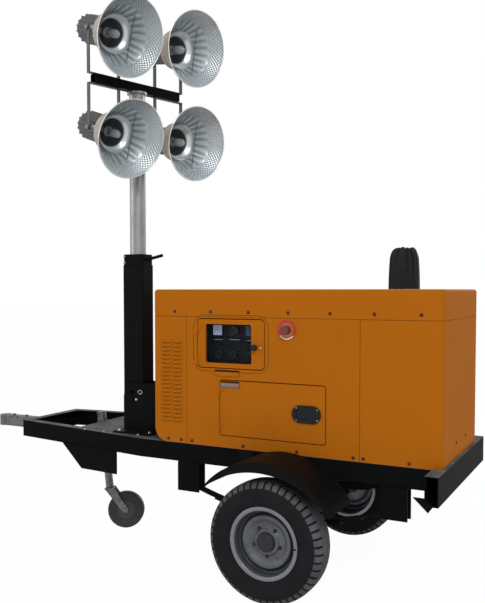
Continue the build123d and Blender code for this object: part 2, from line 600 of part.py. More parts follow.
# distance along the axis, radius of the dish outside
DISH = [(60.0, 104.0), (90.0, 146.0), (130.0, 178.0), (190.0, 206.0), (240.0, 217.0), (RIM_S, RIM_R)]
for number, side, up, pitch in LAMPS:
    root = (MAST_X + side * LAMP_HALF * ALONG[0], MAST_Y + side * LAMP_HALF * ALONG[1], BAR_Z)
    hub = (root[0], root[1], BAR_Z + up * PIVOT_RISE)
    with BuildPart() as yoke:
        with BuildSketch(Plane(origin=root, x_dir=ALONG, z_dir=AIM)):
            with BuildLine():
                Polyline((-YOKE_IN - YOKE_T, up * BAR_W / 2), (-YOKE_IN - YOKE_T, up * (PIVOT_RISE + 18)),
                         (-YOKE_IN, up * (PIVOT_RISE + 18)), (-YOKE_IN, up * (BAR_W / 2 + YOKE_T)),
                         (YOKE_IN, up * (BAR_W / 2 + YOKE_T)), (YOKE_IN, up * (PIVOT_RISE + 18)),
                         (YOKE_IN + YOKE_T, up * (PIVOT_RISE + 18)), (YOKE_IN + YOKE_T, up * BAR_W / 2),
                         close=True)
            make_face()
        extrude(amount=YOKE_W / 2, both=True)
        with Locations(Plane(origin=hub, z_dir=ALONG)):
            Cylinder(TRUNNION_R + CURVE_GAP, 2 * YOKE_IN + 40, mode=Mode.SUBTRACT)
    yoke.part.label = f"yoke_{number}"
    export_step(yoke.part, f"parts/yoke_{number}.step")

    tilt = math.radians(pitch)
    look = (AIM[0] * math.cos(tilt), AIM[1] * math.cos(tilt), math.sin(tilt))
    axis_plane = Plane(origin=hub, x_dir=ALONG, z_dir=look)
    with BuildPart() as lamp:
        with BuildSketch(Plane(origin=hub, x_dir=tuple(axis_plane.x_dir), z_dir=tuple(axis_plane.y_dir))):
            with BuildLine():
                Polyline((0, -GEAR_BACK), (GEAR_R, -GEAR_BACK), (GEAR_R, -NECK_S), (NECK_R, -NECK_S),
                         (NECK_R, -DISH[0][0]), (0, -DISH[0][0]), close=True)
            make_face()
        revolve(axis=Axis(hub, look))
        with BuildSketch(Plane(origin=hub, x_dir=tuple(axis_plane.x_dir), z_dir=tuple(axis_plane.y_dir))):
            with BuildLine():
                skin = Spline(*[(r, -s) for s, r in DISH])
                back = Spline(*[(r - SHELL, -s) for s, r in DISH])
                Line(skin @ 0, back @ 0)
                Line(skin @ 1, back @ 1)
            make_face()
        revolve(axis=Axis(hub, look))
        with Locations(Plane(origin=hub, z_dir=ALONG)):
            Cylinder(TRUNNION_R, 2 * YOKE_IN + 2 * YOKE_T + 16)
    lamp.part.label = f"lamp_{number}"
    export_step(lamp.part, f"parts/lamp_{number}.step")

    with BuildPart() as bulb:
        with Locations(Plane(origin=tuple(h + DISH[0][0] * v for h, v in zip(hub, look)), z_dir=look)):
            Cylinder(30, 40, align=(Align.CENTER, Align.CENTER, Align.MIN))
            Cylinder(21, 160, align=(Align.CENTER, Align.CENTER, Align.MIN))
    bulb.part.label = f"bulb_{number}"
    export_step(bulb.part, f"parts/bulb_{number}.step")

# Jockey wheel: LEG points up along the raked leg, ROLL is the castor's rolling direction.
rake = math.radians(RAKE)
turn = math.radians(LEG_TURN)
LEG = (-math.sin(rake), 0.0, math.cos(rake))
ROLL = (math.cos(turn) * math.cos(rake), math.sin(turn), math.cos(turn) * math.sin(rake))
SPIN = (LEG[1] * ROLL[2] - LEG[2] * ROLL[1], LEG[2] * ROLL[0] - LEG[0] * ROLL[2],
        LEG[0] * ROLL[1] - LEG[1] * ROLL[0])
LEAN = math.asin(abs(SPIN[2]))
HUB_Z = (JOCKEY_R - JOCKEY_EDGE) * math.cos(LEAN) + (JOCKEY_W / 2 - JOCKEY_EDGE) * math.sin(LEAN) + JOCKEY_EDGE
DOWN = (JOCKEY_TOP[2] + TRAIL * ROLL[2] - HUB_Z) / LEG[2]
JOCKEY_HUB = tuple(t - DOWN * u + TRAIL * e for t, u, e in zip(JOCKEY_TOP, LEG, ROLL))


def on_leg(distance):
    return tuple(t - distance * u for t, u in zip(JOCKEY_TOP, LEG))


SLEEVE_R = 29.0
SLEEVE_L = 330.0
INNER_R = 24.0
FOOT_S = 480.0
CLAMP_X = -630.0
with BuildPart() as sleeve:
    with Locations(Plane(origin=on_leg(0), z_dir=tuple(-u for u in LEG))):
        Cylinder(SLEEVE_R, SLEEVE_L, align=(Align.CENTER, Align.CENTER, Align.MIN))
    with Locations((CLAMP_X, 0, 632)):
        Box(70, 84, 76, align=(Align.MAX, Align.CENTER, Align.CENTER))
    with Locations(Plane(origin=on_leg(12), z_dir=tuple(-u for u in LEG))):
        Cylinder(INNER_R + 0.5, SLEEVE_L, align=(Align.CENTER, Align.CENTER, Align.MIN), mode=Mode.SUBTRACT)
sleeve.part.label = "jockey_sleeve"
export_step(sleeve.part, "parts/jockey_sleeve.step")

with BuildPart() as leg:
    with Locations(Plane(origin=on_leg(220), z_dir=tuple(-u for u in LEG))):
        Cylinder(INNER_R, FOOT_S - 220, align=(Align.CENTER, Align.CENTER, Align.MIN))
leg.part.label = "jockey_leg"
export_step(leg.part, "parts/jockey_leg.step")

FORK_IN = JOCKEY_W / 2 + 5
FORK_T = 6.0
CROWN_S = FOOT_S
HUB_DROP = DOWN - CROWN_S
with BuildPart() as fork:
    with Locations(Plane(origin=on_leg(CROWN_S), z_dir=tuple(-u for u in LEG))):
        Cylinder(30, 10, align=(Align.CENTER, Align.CENTER, Align.MIN))
    with BuildSketch(Plane(origin=on_leg(CROWN_S), x_dir=SPIN, z_dir=tuple(-u for u in LEG))):
        Rectangle(2 * (FORK_IN + FORK_T), 56)
    extrude(amount=8)
    for end in (-1, 1):
        offset_c = tuple(c + end * (FORK_IN + FORK_T / 2) * a for c, a in zip(on_leg(CROWN_S), SPIN))
        with BuildSketch(Plane(origin=offset_c, x_dir=ROLL, z_dir=SPIN)):
            with BuildLine():
                Polyline((-28, 0), (28, 0), (TRAIL + 18, HUB_DROP - 8), (TRAIL + 12, HUB_DROP + 16),
                         (TRAIL - 14, HUB_DROP + 14), close=True)
            make_face()
        extrude(amount=FORK_T / 2, both=True)
    with Locations(Plane(origin=JOCKEY_HUB, z_dir=SPIN)):
        Cylinder(8, 2 * FORK_IN + 2 * FORK_T + 12)
fork.part.label = "jockey_fork"
export_step(fork.part, "parts/jockey_fork.step")

with BuildPart() as jockey:
    with Locations(Plane(origin=JOCKEY_HUB, z_dir=SPIN)):
        Cylinder(JOCKEY_R, JOCKEY_W)
        fillet(jockey.edges(), radius=JOCKEY_EDGE)
        Cylinder(8 + CURVE_GAP, JOCKEY_W, mode=Mode.SUBTRACT)
jockey.part.label = "jockey_wheel"
export_step(jockey.part, "parts/jockey_wheel.step")

# Road wheels, turned about Y. The profile is radius against distance outward from the centre plane.
HUB_CAP = 44.0
STUD_PCD_R = 56.0
for name, side in SIDES:
    section = Plane(origin=(AXLE_X, side * WHEEL_Y, TYRE_R), x_dir=(1, 0, 0), z_dir=(0, 0, side))
    spin_axis = Axis((AXLE_X, side * WHEEL_Y, TYRE_R), (0, 1, 0))
    with BuildPart() as wheel:
        with BuildSketch(section):
            with BuildLine():
                Polyline((150, -70), (FLANGE_R, -70), (FLANGE_R, -64), (BEAD_R, -60), (BEAD_R, 60),
                         (FLANGE_R, 64), (FLANGE_R, 70), (158, 70), (156, 56), (150, 26), (90, 22),
                         (60, 34), (34, 34), (32, HUB_CAP), (0, HUB_CAP), (0, 34),
                         (STUB_R + CURVE_GAP, 34), (STUB_R + CURVE_GAP, -30), (50, -30), (52, 16),
                         (88, 14), (150, 18), close=True)
            make_face()
        revolve(axis=spin_axis)
        with Locations(Plane(origin=(AXLE_X, side * (WHEEL_Y + 28), TYRE_R), z_dir=(0, side, 0))):
            with PolarLocations(STUD_PCD_R, 5):
                Cylinder(9, 16, align=(Align.CENTER, Align.CENTER, Align.MIN))
    wheel.part.label = f"wheel_{name}"
    export_step(wheel.part, f"parts/wheel_{name}.step")

    with BuildPart() as tyre:
        with BuildSketch(section):
            with BuildLine():
                Polyline((BEAD_R + CURVE_GAP, -59), (186, -63), (205, -78), (240, -TYRE_W / 2), (272, -78),
                         (290, -66), (TYRE_R, -40), (TYRE_R, 40), (290, 66), (272, 78),
                         (240, TYRE_W / 2), (205, 78), (186, 63), (BEAD_R + CURVE_GAP, 59),
                         (BEAD_R + CURVE_GAP, 45), (200, 62), (240, 68), (276, 56), (282, 0),
                         (276, -56), (240, -68), (200, -62), (BEAD_R + CURVE_GAP, -45), close=True)
            make_face()
        revolve(axis=spin_axis)
    tyre.part.label = f"tyre_{name}"
    export_step(tyre.part, f"parts/tyre_{name}.step")
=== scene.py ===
"""Finishes and small fittings for a mobile light tower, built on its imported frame."""

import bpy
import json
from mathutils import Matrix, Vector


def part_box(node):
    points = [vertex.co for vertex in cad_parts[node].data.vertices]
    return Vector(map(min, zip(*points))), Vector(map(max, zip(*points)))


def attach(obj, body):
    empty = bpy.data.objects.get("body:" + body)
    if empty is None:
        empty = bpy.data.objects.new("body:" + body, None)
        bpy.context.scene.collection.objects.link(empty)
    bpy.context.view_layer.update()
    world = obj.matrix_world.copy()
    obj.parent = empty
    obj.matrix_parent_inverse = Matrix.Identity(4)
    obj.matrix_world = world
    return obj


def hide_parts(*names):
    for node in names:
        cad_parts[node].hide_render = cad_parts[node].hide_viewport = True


bl_info = {
    "name": "Mobile Light Tower",
    "version": (1, 0, 0),
    "blender": (4, 5, 0),
    "location": "View3D > Sidebar > Light Tower",
    "description": "Dresses a towable light tower: paint, lamps, wheels, panel and small fittings",
    "category": "Object",
}

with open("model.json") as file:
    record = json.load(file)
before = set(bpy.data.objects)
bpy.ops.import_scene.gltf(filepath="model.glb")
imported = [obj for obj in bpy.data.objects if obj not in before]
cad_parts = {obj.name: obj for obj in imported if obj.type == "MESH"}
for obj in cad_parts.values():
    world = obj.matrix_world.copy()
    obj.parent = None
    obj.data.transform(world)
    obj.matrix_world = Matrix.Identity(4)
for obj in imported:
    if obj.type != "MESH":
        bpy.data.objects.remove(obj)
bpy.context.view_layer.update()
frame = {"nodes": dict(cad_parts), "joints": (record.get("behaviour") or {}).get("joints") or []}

import functools
import json
import math

import bpy
import numpy as np

JOINTS = {joint["name"]: joint for joint in frame["joints"]}

# The sides' directions along Y, the canopy's side wall, its top, and the middles of the road wheels.
SIDES = {"left": -1.0, "right": 1.0}
SIDE_Y = 0.400
ROOF_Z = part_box("canopy_roof")[1][2]
WHEEL_HUBS = {name: JOINTS[f"wheel_{name}_spin"]["pos_m"] for name in SIDES}
# Joints between the canopy's panels: two upright ones along X, and the level one under the roof along Z.
PANEL_SEAMS = (0.188, 1.150, 1.357)
# A tyre's tread: the blocks round it, and half its width.
TREAD_BLOCKS = 24
TREAD_HALF = 0.062
# The head's turn, each lamp's pitch in degrees, and the broad flutes in a lamp's dish.
HEAD_PAN = math.radians(17.0)
LAMP_PITCH = {1: -19.0, 2: -11.0, 3: -19.0, 4: -11.0}
DISH_FLUTES = 22


# Numbers and node trees

class Num:
    """A number that varies over a surface. Arithmetic on it adds Math nodes."""

    def __init__(self, net, socket):
        self.net = net
        self.socket = socket

    def _math(self, operation, other=None, swapped=False):
        pair = [self, other] if not swapped else [other, self]
        values = {i: v for i, v in enumerate(pair) if v is not None}
        node = self.net.add("ShaderNodeMath", {"operation": operation}, values)
        return Num(self.net, node.outputs[0])

    def __add__(self, other):
        return self._math("ADD", other)

    __radd__ = __add__

    def __sub__(self, other):
        return self._math("SUBTRACT", other)

    def __rsub__(self, other):
        return self._math("SUBTRACT", other, True)

    def __mul__(self, other):
        return self._math("MULTIPLY", other)

    def sine(self):
        return self._math("SINE")

    def least(self, other):
        return self._math("MINIMUM", other)

    def most(self, other):
        return self._math("MAXIMUM", other)

    def size(self):
        return self._math("ABSOLUTE")

    def between(self, low, high):
        """0 below low, 1 above high, smooth in between."""
        node = self.net.add("ShaderNodeMapRange", {"interpolation_type": "SMOOTHSTEP"},
                            {"Value": self, "From Min": low, "From Max": high})
        return Num(self.net, node.outputs[0])

    def below(self, low, high):
        """1 below low, 0 above high, smooth in between."""
        return 1.0 - self.between(low, high)

    def band(self, low, rise, fall, high):
        """1 from rise to fall, 0 below low and above high, smooth in between."""
        return self.between(low, rise) * self.below(fall, high)


def highest(numbers):
    """The largest of several numbers."""
    return functools.reduce(Num.most, numbers)


class Net:
    """A node tree, of a finish or of the world."""

    def __init__(self, owner):
        owner.use_nodes = True
        self.tree = owner.node_tree
        self.tree.nodes.clear()

    def put(self, socket, value):
        """Links a number or another socket to this socket, or sets its plain value."""
        if isinstance(value, Num):
            value = value.socket
        if isinstance(value, bpy.types.NodeSocket):
            self.tree.links.new(value, socket)
        else:
            socket.default_value = value

    def add(self, kind, settings=None, sockets=None):
        """A node of that type: settings are set first, then each socket gets its value or link."""
        node = self.tree.nodes.new(kind)
        for name, value in (settings or {}).items():
            setattr(node, name, value)
        for name, value in (sockets or {}).items():
            self.put(node.inputs[name], value)
        return node

    def looking(self):
        """1 for rays from the camera, off a mirror or through glass, 0 for rays that light the scene."""
        path = self.add("ShaderNodeLightPath")
        return highest(Num(self, path.outputs[f"Is {kind} Ray"])
                       for kind in ("Camera", "Glossy", "Transmission"))

    def blend(self, factor, first, second):
        """A shader from first to second."""
        return self.add("ShaderNodeMixShader", None,
                        {0: factor, 1: first.outputs[0], 2: second.outputs[0]}).outputs[0]


class Finish(Net):
    """The node tree of one material, with its surface shader."""

    def __init__(self, name):
        self.material = bpy.data.materials.new(name)
        super().__init__(self.material)
        self.shader = self.add("ShaderNodeBsdfPrincipled")
        self.output = self.add("ShaderNodeOutputMaterial", None, {"Surface": self.shader.outputs[0]})
        self.place = self.add("ShaderNodeTexCoord").outputs["Object"]

    def axis(self, letter):
        """One coordinate of the object's own space, in metres."""
        split = self.add("ShaderNodeSeparateXYZ", None, {0: self.place})
        return Num(self, split.outputs[letter])

    def spread(self, point, across=(1.0, 0.0, 1.0)):
        """Distance in metres from a line through the point; across is 0 along that line's axis."""
        offset = self.add("ShaderNodeVectorMath", {"operation": "SUBTRACT"},
                          {0: self.place, 1: tuple(point)})
        flat = self.add("ShaderNodeVectorMath", {"operation": "MULTIPLY"},
                        {0: offset.outputs["Vector"], 1: across})
        node = self.add("ShaderNodeVectorMath", {"operation": "LENGTH"}, {0: flat.outputs["Vector"]})
        return Num(self, node.outputs["Value"])

    def wrap(self):
        """The piece's own UV map: turns round the axis, and metres along it."""
        node = self.add("ShaderNodeUVMap", {"uv_map": "wrap"})
        split = self.add("ShaderNodeSeparateXYZ", None, {0: node.outputs[0]})
        return Num(self, split.outputs[0]), Num(self, split.outputs[1])

    def patch(self, centre, half):
        """1 inside a rectangle in the X and Z directions, 0 outside."""
        x = (self.axis("X") - centre[0]).size()
        z = (self.axis("Z") - centre[1]).size()
        return x.below(half[0] - 0.001, half[0]) * z.below(half[1] - 0.001, half[1])

    def noise(self, scale, detail=3.0, rough=0.55, stretch=None):
        """Soft random cloud from 0 to 1."""
        vector = self.place
        if stretch:
            vector = self.add("ShaderNodeMapping", None, {"Vector": vector, "Scale": stretch}).outputs[0]
        node = self.add("ShaderNodeTexNoise", None, {"Vector": vector, "Scale": scale, "Detail": detail,
                                                     "Roughness": rough})
        return Num(self, node.outputs[0])

    def cells(self, scale):
        """Distance to the nearest of many scattered points."""
        node = self.add("ShaderNodeTexVoronoi", None, {"Vector": self.place, "Scale": scale})
        return Num(self, node.outputs["Distance"])

    def spangle(self, scale):
        """A random grey for each cell, as on zinc."""
        node = self.add("ShaderNodeTexVoronoi", None, {"Vector": self.place, "Scale": scale})
        split = self.add("ShaderNodeSeparateColor", None, {0: node.outputs["Color"]})
        return Num(self, split.outputs[0])

    def tint(self, factor, first, second):
        """A colour from first to second."""
        node = self.add("ShaderNodeMix", {"data_type": "RGBA"},
                        {0: factor, 6: full(first), 7: full(second)})
        return node.outputs[2]

    def bump(self, height, strength, distance):
        """A surface normal from a height."""
        node = self.add("ShaderNodeBump", None,
                        {"Height": height, "Strength": strength, "Distance": distance})
        self.wire("Normal", node.outputs[0])

    def wire(self, name, value):
        """Sets or links one socket of the surface shader."""
        self.put(self.shader.inputs[name], full(value) if isinstance(value, tuple) else value)


def full(colour):
    """A colour with its alpha; links pass through."""
    if isinstance(colour, bpy.types.NodeSocket):
        return colour
    return (*tuple(colour)[:3], 1.0)


def darker(colour, share):
    """A colour with each channel times the share."""
    return tuple(c * share for c in tuple(colour)[:3])


# Finishes

def satin_paint(name, colour, dust, gloss=0.42, dusty_to=0.9, shine=0.5, dirty=1.0, seams=None, ledge=None):
    """Sprayed paint: faint orange peel, soft patches, and road dust that thickens toward the ground.
    seams are the places of two upright panel joints along X and of one level joint along Z, and ledge
    is the height of top faces that get patchy painted light, as if lit from above."""
    net = Finish(name)
    patches = net.noise(2.6, 4.0)
    cloud = net.noise(7.0, 6.0, 0.65).between(0.35, 0.75)
    dirt = net.axis("Z").below(0.25, dusty_to) * cloud * dirty
    streaks = net.noise(6.0, 5.0, 0.6, (9.0, 9.0, 0.6)).between(0.55, 0.8) * (0.12 * dirty)
    base = net.tint(patches.between(0.3, 0.75) * 0.3, colour, darker(colour, 0.85))
    shade = net.tint((dirt * 0.5 + streaks).least(1.0), base, dust)
    relief = net.noise(420.0, 2.0) * 0.5 + net.noise(60.0, 2.0) * 0.3
    if ledge:
        # Top faces at the ledge are painted lighter in patches: painted light from above.
        lit_top = net.axis("Z").between(ledge - 0.0012, ledge - 0.0004) * (cloud * 0.5 + 0.35)
        shade = net.tint(lit_top, shade, (0.20, 0.205, 0.21))
    if seams:
        front, rear, level = seams
        upright = (net.axis("X") - front).size().least((net.axis("X") - rear).size())
        upright = upright.below(0.0010, 0.0022) * net.axis("Z").below(level - 0.001, level)
        flat = (net.axis("Z") - level).size().below(0.0010, 0.0022)
        # Seams show on the side walls, and on the front and rear wall, half a length from the middle.
        half_length = 0.76
        walls = net.axis("Y").size().between(SIDE_Y - 0.015, SIDE_Y - 0.010)
        walls = walls.most((net.axis("X") - half_length).size().between(half_length, half_length + 0.005))
        line = upright.most(flat) * walls
        shade = net.tint(line * 0.75, shade, darker(colour, 0.22))
        relief = relief - line * 3.0
    net.wire("Base Color", shade)
    net.wire("Roughness", (gloss + dirt * 0.35 + patches * 0.08).least(1.0))
    net.wire("Specular IOR Level", shine)
    net.bump(relief, 0.12, 0.0005)
    return net.material


def zinc(name, light, dark, gloss=0.38):
    """Hot-dip zinc: flat crystals of slightly different grey, with dull white bloom."""
    net = Finish(name)
    crystals = net.spangle(70.0)
    bloom = net.noise(11.0, 5.0, 0.6).between(0.5, 0.8)
    base = net.tint(crystals, dark, light)
    net.wire("Base Color", net.tint(bloom * 0.4, base, (0.42, 0.43, 0.43)))
    net.wire("Metallic", 0.85 - bloom * 0.5)
    net.wire("Roughness", gloss + crystals * 0.12 + bloom * 0.2)
    net.bump(net.noise(90.0, 3.0), 0.12, 0.0005)
    return net.material


def cast_metal(name, colour):
    """Sand-cast metal: coarse grain and uneven dull paint."""
    net = Finish(name)
    grain = net.noise(160.0, 4.0, 0.7)
    wear = net.noise(18.0, 4.0).between(0.5, 0.7)
    net.wire("Base Color", net.tint(wear * 0.5, darker(colour, 0.7), darker(colour, 1.25)))
    net.wire("Roughness", 0.55 + grain * 0.2)
    net.wire("Metallic", 0.35)
    net.bump(grain, 0.35, 0.0012)
    return net.material


def moulded(name, colour, gloss):
    """Moulded plastic with a fine leather-like grain."""
    net = Finish(name)
    grain = net.cells(600.0)
    net.wire("Specular IOR Level", 0.2)
    net.wire("Base Color", net.tint(net.noise(12.0).between(0.4, 0.7) * 0.3, colour, darker(colour, 1.5)))
    net.wire("Roughness", gloss + grain * 0.1)
    net.bump(grain, 0.12, 0.0004)
    return net.material


def rubber(name, colour, dust, strength):
    """Tyre rubber with fine pores. Pale dust lies on the tread's blocks, and the grooves and sidewalls
    stay dark."""
    net = Finish(name)
    film = net.noise(9.0, 6.0, 0.7).between(0.3, 0.7)
    fine = net.noise(150.0, 3.0)
    turn, reach = net.wrap()
    tread = net.spread(WHEEL_HUBS["left"]).between(0.2640, 0.2700)
    side = reach.between(-0.001, 0.001) * 1.6 - 0.8
    lug = (turn * (2 * math.pi * TREAD_BLOCKS) + side).sine().size().between(0.36, 0.50)
    outer = reach.size().between(0.036, 0.040)
    block = 1.0 - outer * (1.0 - lug)
    clings = (film * 0.5 + 0.4) * strength * tread * block + film * 0.05
    net.wire("Base Color", net.tint(clings + fine * 0.04, colour, dust))
    net.wire("Roughness", 0.72 + film * 0.18)
    net.wire("Specular IOR Level", 0.08)
    net.bump(fine, 0.22, 0.0008)
    return net.material


def drawn_steel(name, light, dark):
    """Drawn and zinc-plated tube: fine lengthwise lines, soft stains and a few dull runs."""
    net = Finish(name)
    lines = net.noise(60.0, 4.0, 0.6, (9.0, 9.0, 0.35))
    stains = net.noise(9.0, 4.0).between(0.4, 0.8)
    net.wire("Base Color", net.tint(lines.between(0.3, 0.75) * 0.6 + stains * 0.3, light, dark))
    net.wire("Metallic", 0.9 - stains * 0.15)
    net.wire("Roughness", 0.3 + lines * 0.14 + stains * 0.1)
    net.bump(lines, 0.06, 0.0004)
    return net.material


def reflector_metal(name, colour, pebble):
    """Spun reflector: a dark neck, a bright ring of painted highlight, flutes with painted highlights and
    the painted shade between them, then rows of pebbles near the rim with painted glints."""
    net = Finish(name)
    turn, reach = net.wrap()
    haze = net.noise(8.0, 4.0)
    neck = reach.below(0.074, 0.080)
    band = reach.band(0.080, 0.083, 0.106, 0.112)
    near_rim = reach.band(0.198, 0.207, 0.254, 0.260)
    fluted = reach.band(0.112, 0.122, 0.183, 0.192)
    rows = (turn * (2 * math.pi * 60)).sine() * (reach * (math.pi / pebble)).sine()
    glints = rows.between(0.3, 0.8) * near_rim
    wave = (turn * (2 * math.pi * DISH_FLUTES) + 0.5 * math.pi).sine()
    metal = net.tint(haze.between(0.3, 0.7), darker(colour, 0.88), colour)
    # Painted highlight on the crests of the flutes.
    metal = net.tint((0.0 - wave).between(0.0, 0.9) * fluted * 0.45, metal, (0.62, 0.66, 0.66))
    # Painted shade in the gaps between the flutes.
    metal = net.tint(wave.between(0.2, 0.95) * fluted * 0.6, metal, darker(colour, 0.42))
    # Painted glints on the pebbles near the rim, and a painted highlight on the ring by the neck.
    metal = net.tint(glints * 0.75 + band * 0.4, metal, (0.74, 0.77, 0.78))
    rings = (reach * (2 * math.pi / 0.012)).sine().between(0.0, 0.9)
    cup = net.tint(rings * 0.5, (0.05, 0.055, 0.058), (0.16, 0.17, 0.17))
    net.wire("Base Color", net.tint(neck, metal, cup))
    net.wire("Metallic", 0.88 - neck * 0.3)
    net.wire("Roughness", 0.36 + haze * 0.1 - band * 0.12 + neck * 0.12)
    net.bump(rows * near_rim + net.noise(70.0, 3.0) * 0.2, 0.5, 0.002)
    return net.material


def lamp_housing(name, case, ring, cream_from):
    """Cast case that turns into the cream ring and the cream back of the dish, by distance along the
    axis."""
    net = Finish(name)
    reach = net.wrap()[1]
    cream = reach.between(cream_from - 0.001, cream_from + 0.001)
    edge = reach.between(0.2625, 0.2645)
    grain = net.noise(150.0, 4.0, 0.7)
    stain = net.noise(14.0, 5.0, 0.6).between(0.45, 0.75)
    cast = net.tint(grain.between(0.3, 0.7) * 0.6, case, darker(case, 0.55))
    lacquer = net.tint(stain * 0.35, ring, darker(ring, 0.72))
    both = net.tint(cream, cast, lacquer)
    net.wire("Base Color", net.tint(edge, both, (0.6, 0.62, 0.62)))
    net.wire("Metallic", edge * 0.8)
    net.wire("Roughness", 0.55 + grain * 0.12 - edge * 0.25)
    net.bump(grain * (1.0 - cream * 0.85), 0.4, 0.0012)
    return net.material


def bag_cloth(name, colour):
    """Coated black cloth: a fine weave that shows in the light, and pale patches on the folds that are
    partly dust and partly painted light on the lit facets.
    """
    net = Finish(name)
    turn, reach = net.wrap()
    weave = (turn * (2 * math.pi * 220)).sine() * (reach * (2 * math.pi / 0.0022)).sine()
    # Pale patches on the folds: dust, with painted light standing in for the lit facets of the pleats.
    dust = net.noise(30.0, 5.0, 0.65).between(0.45, 0.8)
    net.wire("Base Color", net.tint(dust * 0.4, colour, (0.05, 0.051, 0.054)))
    net.wire("Roughness", 0.7 + dust * 0.2)
    net.wire("Specular IOR Level", 0.1)
    net.wire("Sheen Weight", 0.04)
    net.bump(weave * 0.5 + dust * 0.4, 0.3, 0.0006)
    return net.material


def clear_glass(name, colour, alpha):
    """Thin glass that lets most light through."""
    net = Finish(name)
    net.wire("Base Color", colour)
    net.wire("Alpha", alpha)
    net.wire("Roughness", 0.08 + net.noise(25.0) * 0.06)
    net.wire("Specular IOR Level", 0.25)
    net.material.surface_render_method = "BLENDED"
    return net.material


def dress(names, material):
    """Gives CAD nodes a finish."""
    for name in names:
        slots = frame["nodes"][name].data.materials
        if len(slots):
            slots[0] = material
        else:
            slots.append(material)


# Surfaces

def grid_faces(rows, columns, closed=False, blocks=1):
    """Quads of one or more grids whose points run column by column within each row. A closed grid also
    joins its last column to its first."""
    i, j = np.meshgrid(np.arange(rows - 1), np.arange(columns if closed else columns - 1), indexing="ij")
    here = i * columns + j
    beside = i * columns + (j + 1) % columns
    quads = np.stack([here, beside, beside + columns, here + columns], -1).reshape(-1, 4)
    return (quads[None] + (np.arange(blocks) * rows * columns)[:, None, None]).reshape(-1, 4)


def new_piece(name, points, faces, body, material, smooth=True, caps=(), wrap=None):
    """A mesh piece from an array of points and an array of quads. caps are more faces as lists of points.
    wrap holds two numbers for each point, kept as the UV map that a finish reads. Where a face closes
    the turn, its low values are raised by one, so that the map does not run backward over it."""
    mesh = bpy.data.meshes.new(name)
    all_faces = np.asarray(faces).tolist() + [list(map(int, cap)) for cap in caps]
    mesh.from_pydata(np.asarray(points, float).reshape(-1, 3).tolist(), [], all_faces)
    mesh.polygons.foreach_set("use_smooth", np.full(len(mesh.polygons), smooth))
    if wrap is not None:
        corner = np.empty(len(mesh.loops), dtype=np.int32)
        mesh.loops.foreach_get("vertex_index", corner)
        values = np.asarray(wrap, float).reshape(-1, 2)[corner]
        start = np.empty(len(mesh.polygons), dtype=np.int32)
        total = np.empty(len(mesh.polygons), dtype=np.int32)
        mesh.polygons.foreach_get("loop_start", start)
        mesh.polygons.foreach_get("loop_total", total)
        peak = np.repeat(np.maximum.reduceat(values[:, 0], start), total)
        values[:, 0] += (peak - values[:, 0] > 0.5)
        mesh.uv_layers.new(name="wrap").data.foreach_set("uv", values.astype(np.float32).ravel())
    mesh.update()
    piece = bpy.data.objects.new(name, mesh)
    bpy.context.scene.collection.objects.link(piece)
    mesh.materials.append(material)
    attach(piece, body)
    return piece


def turned(profile, steps, centre, axis, ripple=None):
    """A profile of (distance along the axis, radius) turned about the axis.
    Each point is centre + along * axis + radius * (cos * side + sin * up)."""
    profile = np.asarray(profile, float)
    axis = np.asarray(axis, float) / np.linalg.norm(axis)
    helper = np.array([0.0, 0.0, 1.0]) if abs(axis[2]) < 0.9 else np.array([1.0, 0.0, 0.0])
    side = np.cross(helper, axis)
    side /= np.linalg.norm(side)
    up = np.cross(axis, side)
    angle = np.linspace(0.0, 2 * np.pi, steps, endpoint=False)
    along = profile[:, 0][:, None]
    radius = profile[:, 1][:, None] * np.ones_like(angle)[None]
    if ripple is not None:
        radius = radius + ripple(along, angle[None])
    ring = np.cos(angle)[None, :, None] * side + np.sin(angle)[None, :, None] * up
    return np.asarray(centre, float) + along[..., None] * axis + radius[..., None] * ring


def turned_wrap(profile, steps):
    """Turns round the axis and metres along it, for each point of a turned profile."""
    turn, reach = np.meshgrid(np.arange(steps) / steps, np.asarray(profile, float)[:, 0])
    return np.stack([turn, reach], -1)


def row(index, steps, backward=False):
    """The points of one ring of a turned profile, to cap it with one face."""
    points = list(range(index * steps, (index + 1) * steps))
    return points[::-1] if backward else points


def turned_piece(name, profile, steps, centre, axis, body, material, ripple=None):
    """A turned profile as a piece with both ends capped. Its profile starts at the back and runs over the
    outside to the front."""
    points = turned(profile, steps, centre, axis, ripple)
    caps = [row(0, steps, True), row(len(profile) - 1, steps)]
    return new_piece(name, points, grid_faces(len(profile), steps, closed=True), body, material,
                     caps=caps, wrap=turned_wrap(profile, steps))


def rod(path, radius, sides, flat_normal):
    """A round rod along a path in one plane. Each point is
    path + radius * (cos * normal + sin * (normal x run)), where run is the path's direction there."""
    path = np.asarray(path, float)
    run = np.gradient(path, axis=0)
    run /= np.linalg.norm(run, axis=1)[:, None]
    normal = np.asarray(flat_normal, float) / np.linalg.norm(flat_normal)
    side = np.cross(normal, run)
    angle = np.linspace(0.0, 2 * np.pi, sides, endpoint=False)
    offset = np.cos(angle)[None, :, None] * normal + np.sin(angle)[None, :, None] * side[:, None]
    return path[:, None] + radius * offset


def rod_piece(name, path, radius, flat_normal, body, material, sides=10):
    """A rod along a path, with both its ends capped."""
    points = rod(path, radius, sides, flat_normal)
    caps = [row(0, sides), row(len(points) - 1, sides, True)]
    faces = grid_faces(len(points), sides, closed=True)[:, ::-1]
    return new_piece(name, points, faces, body, material, caps=caps)


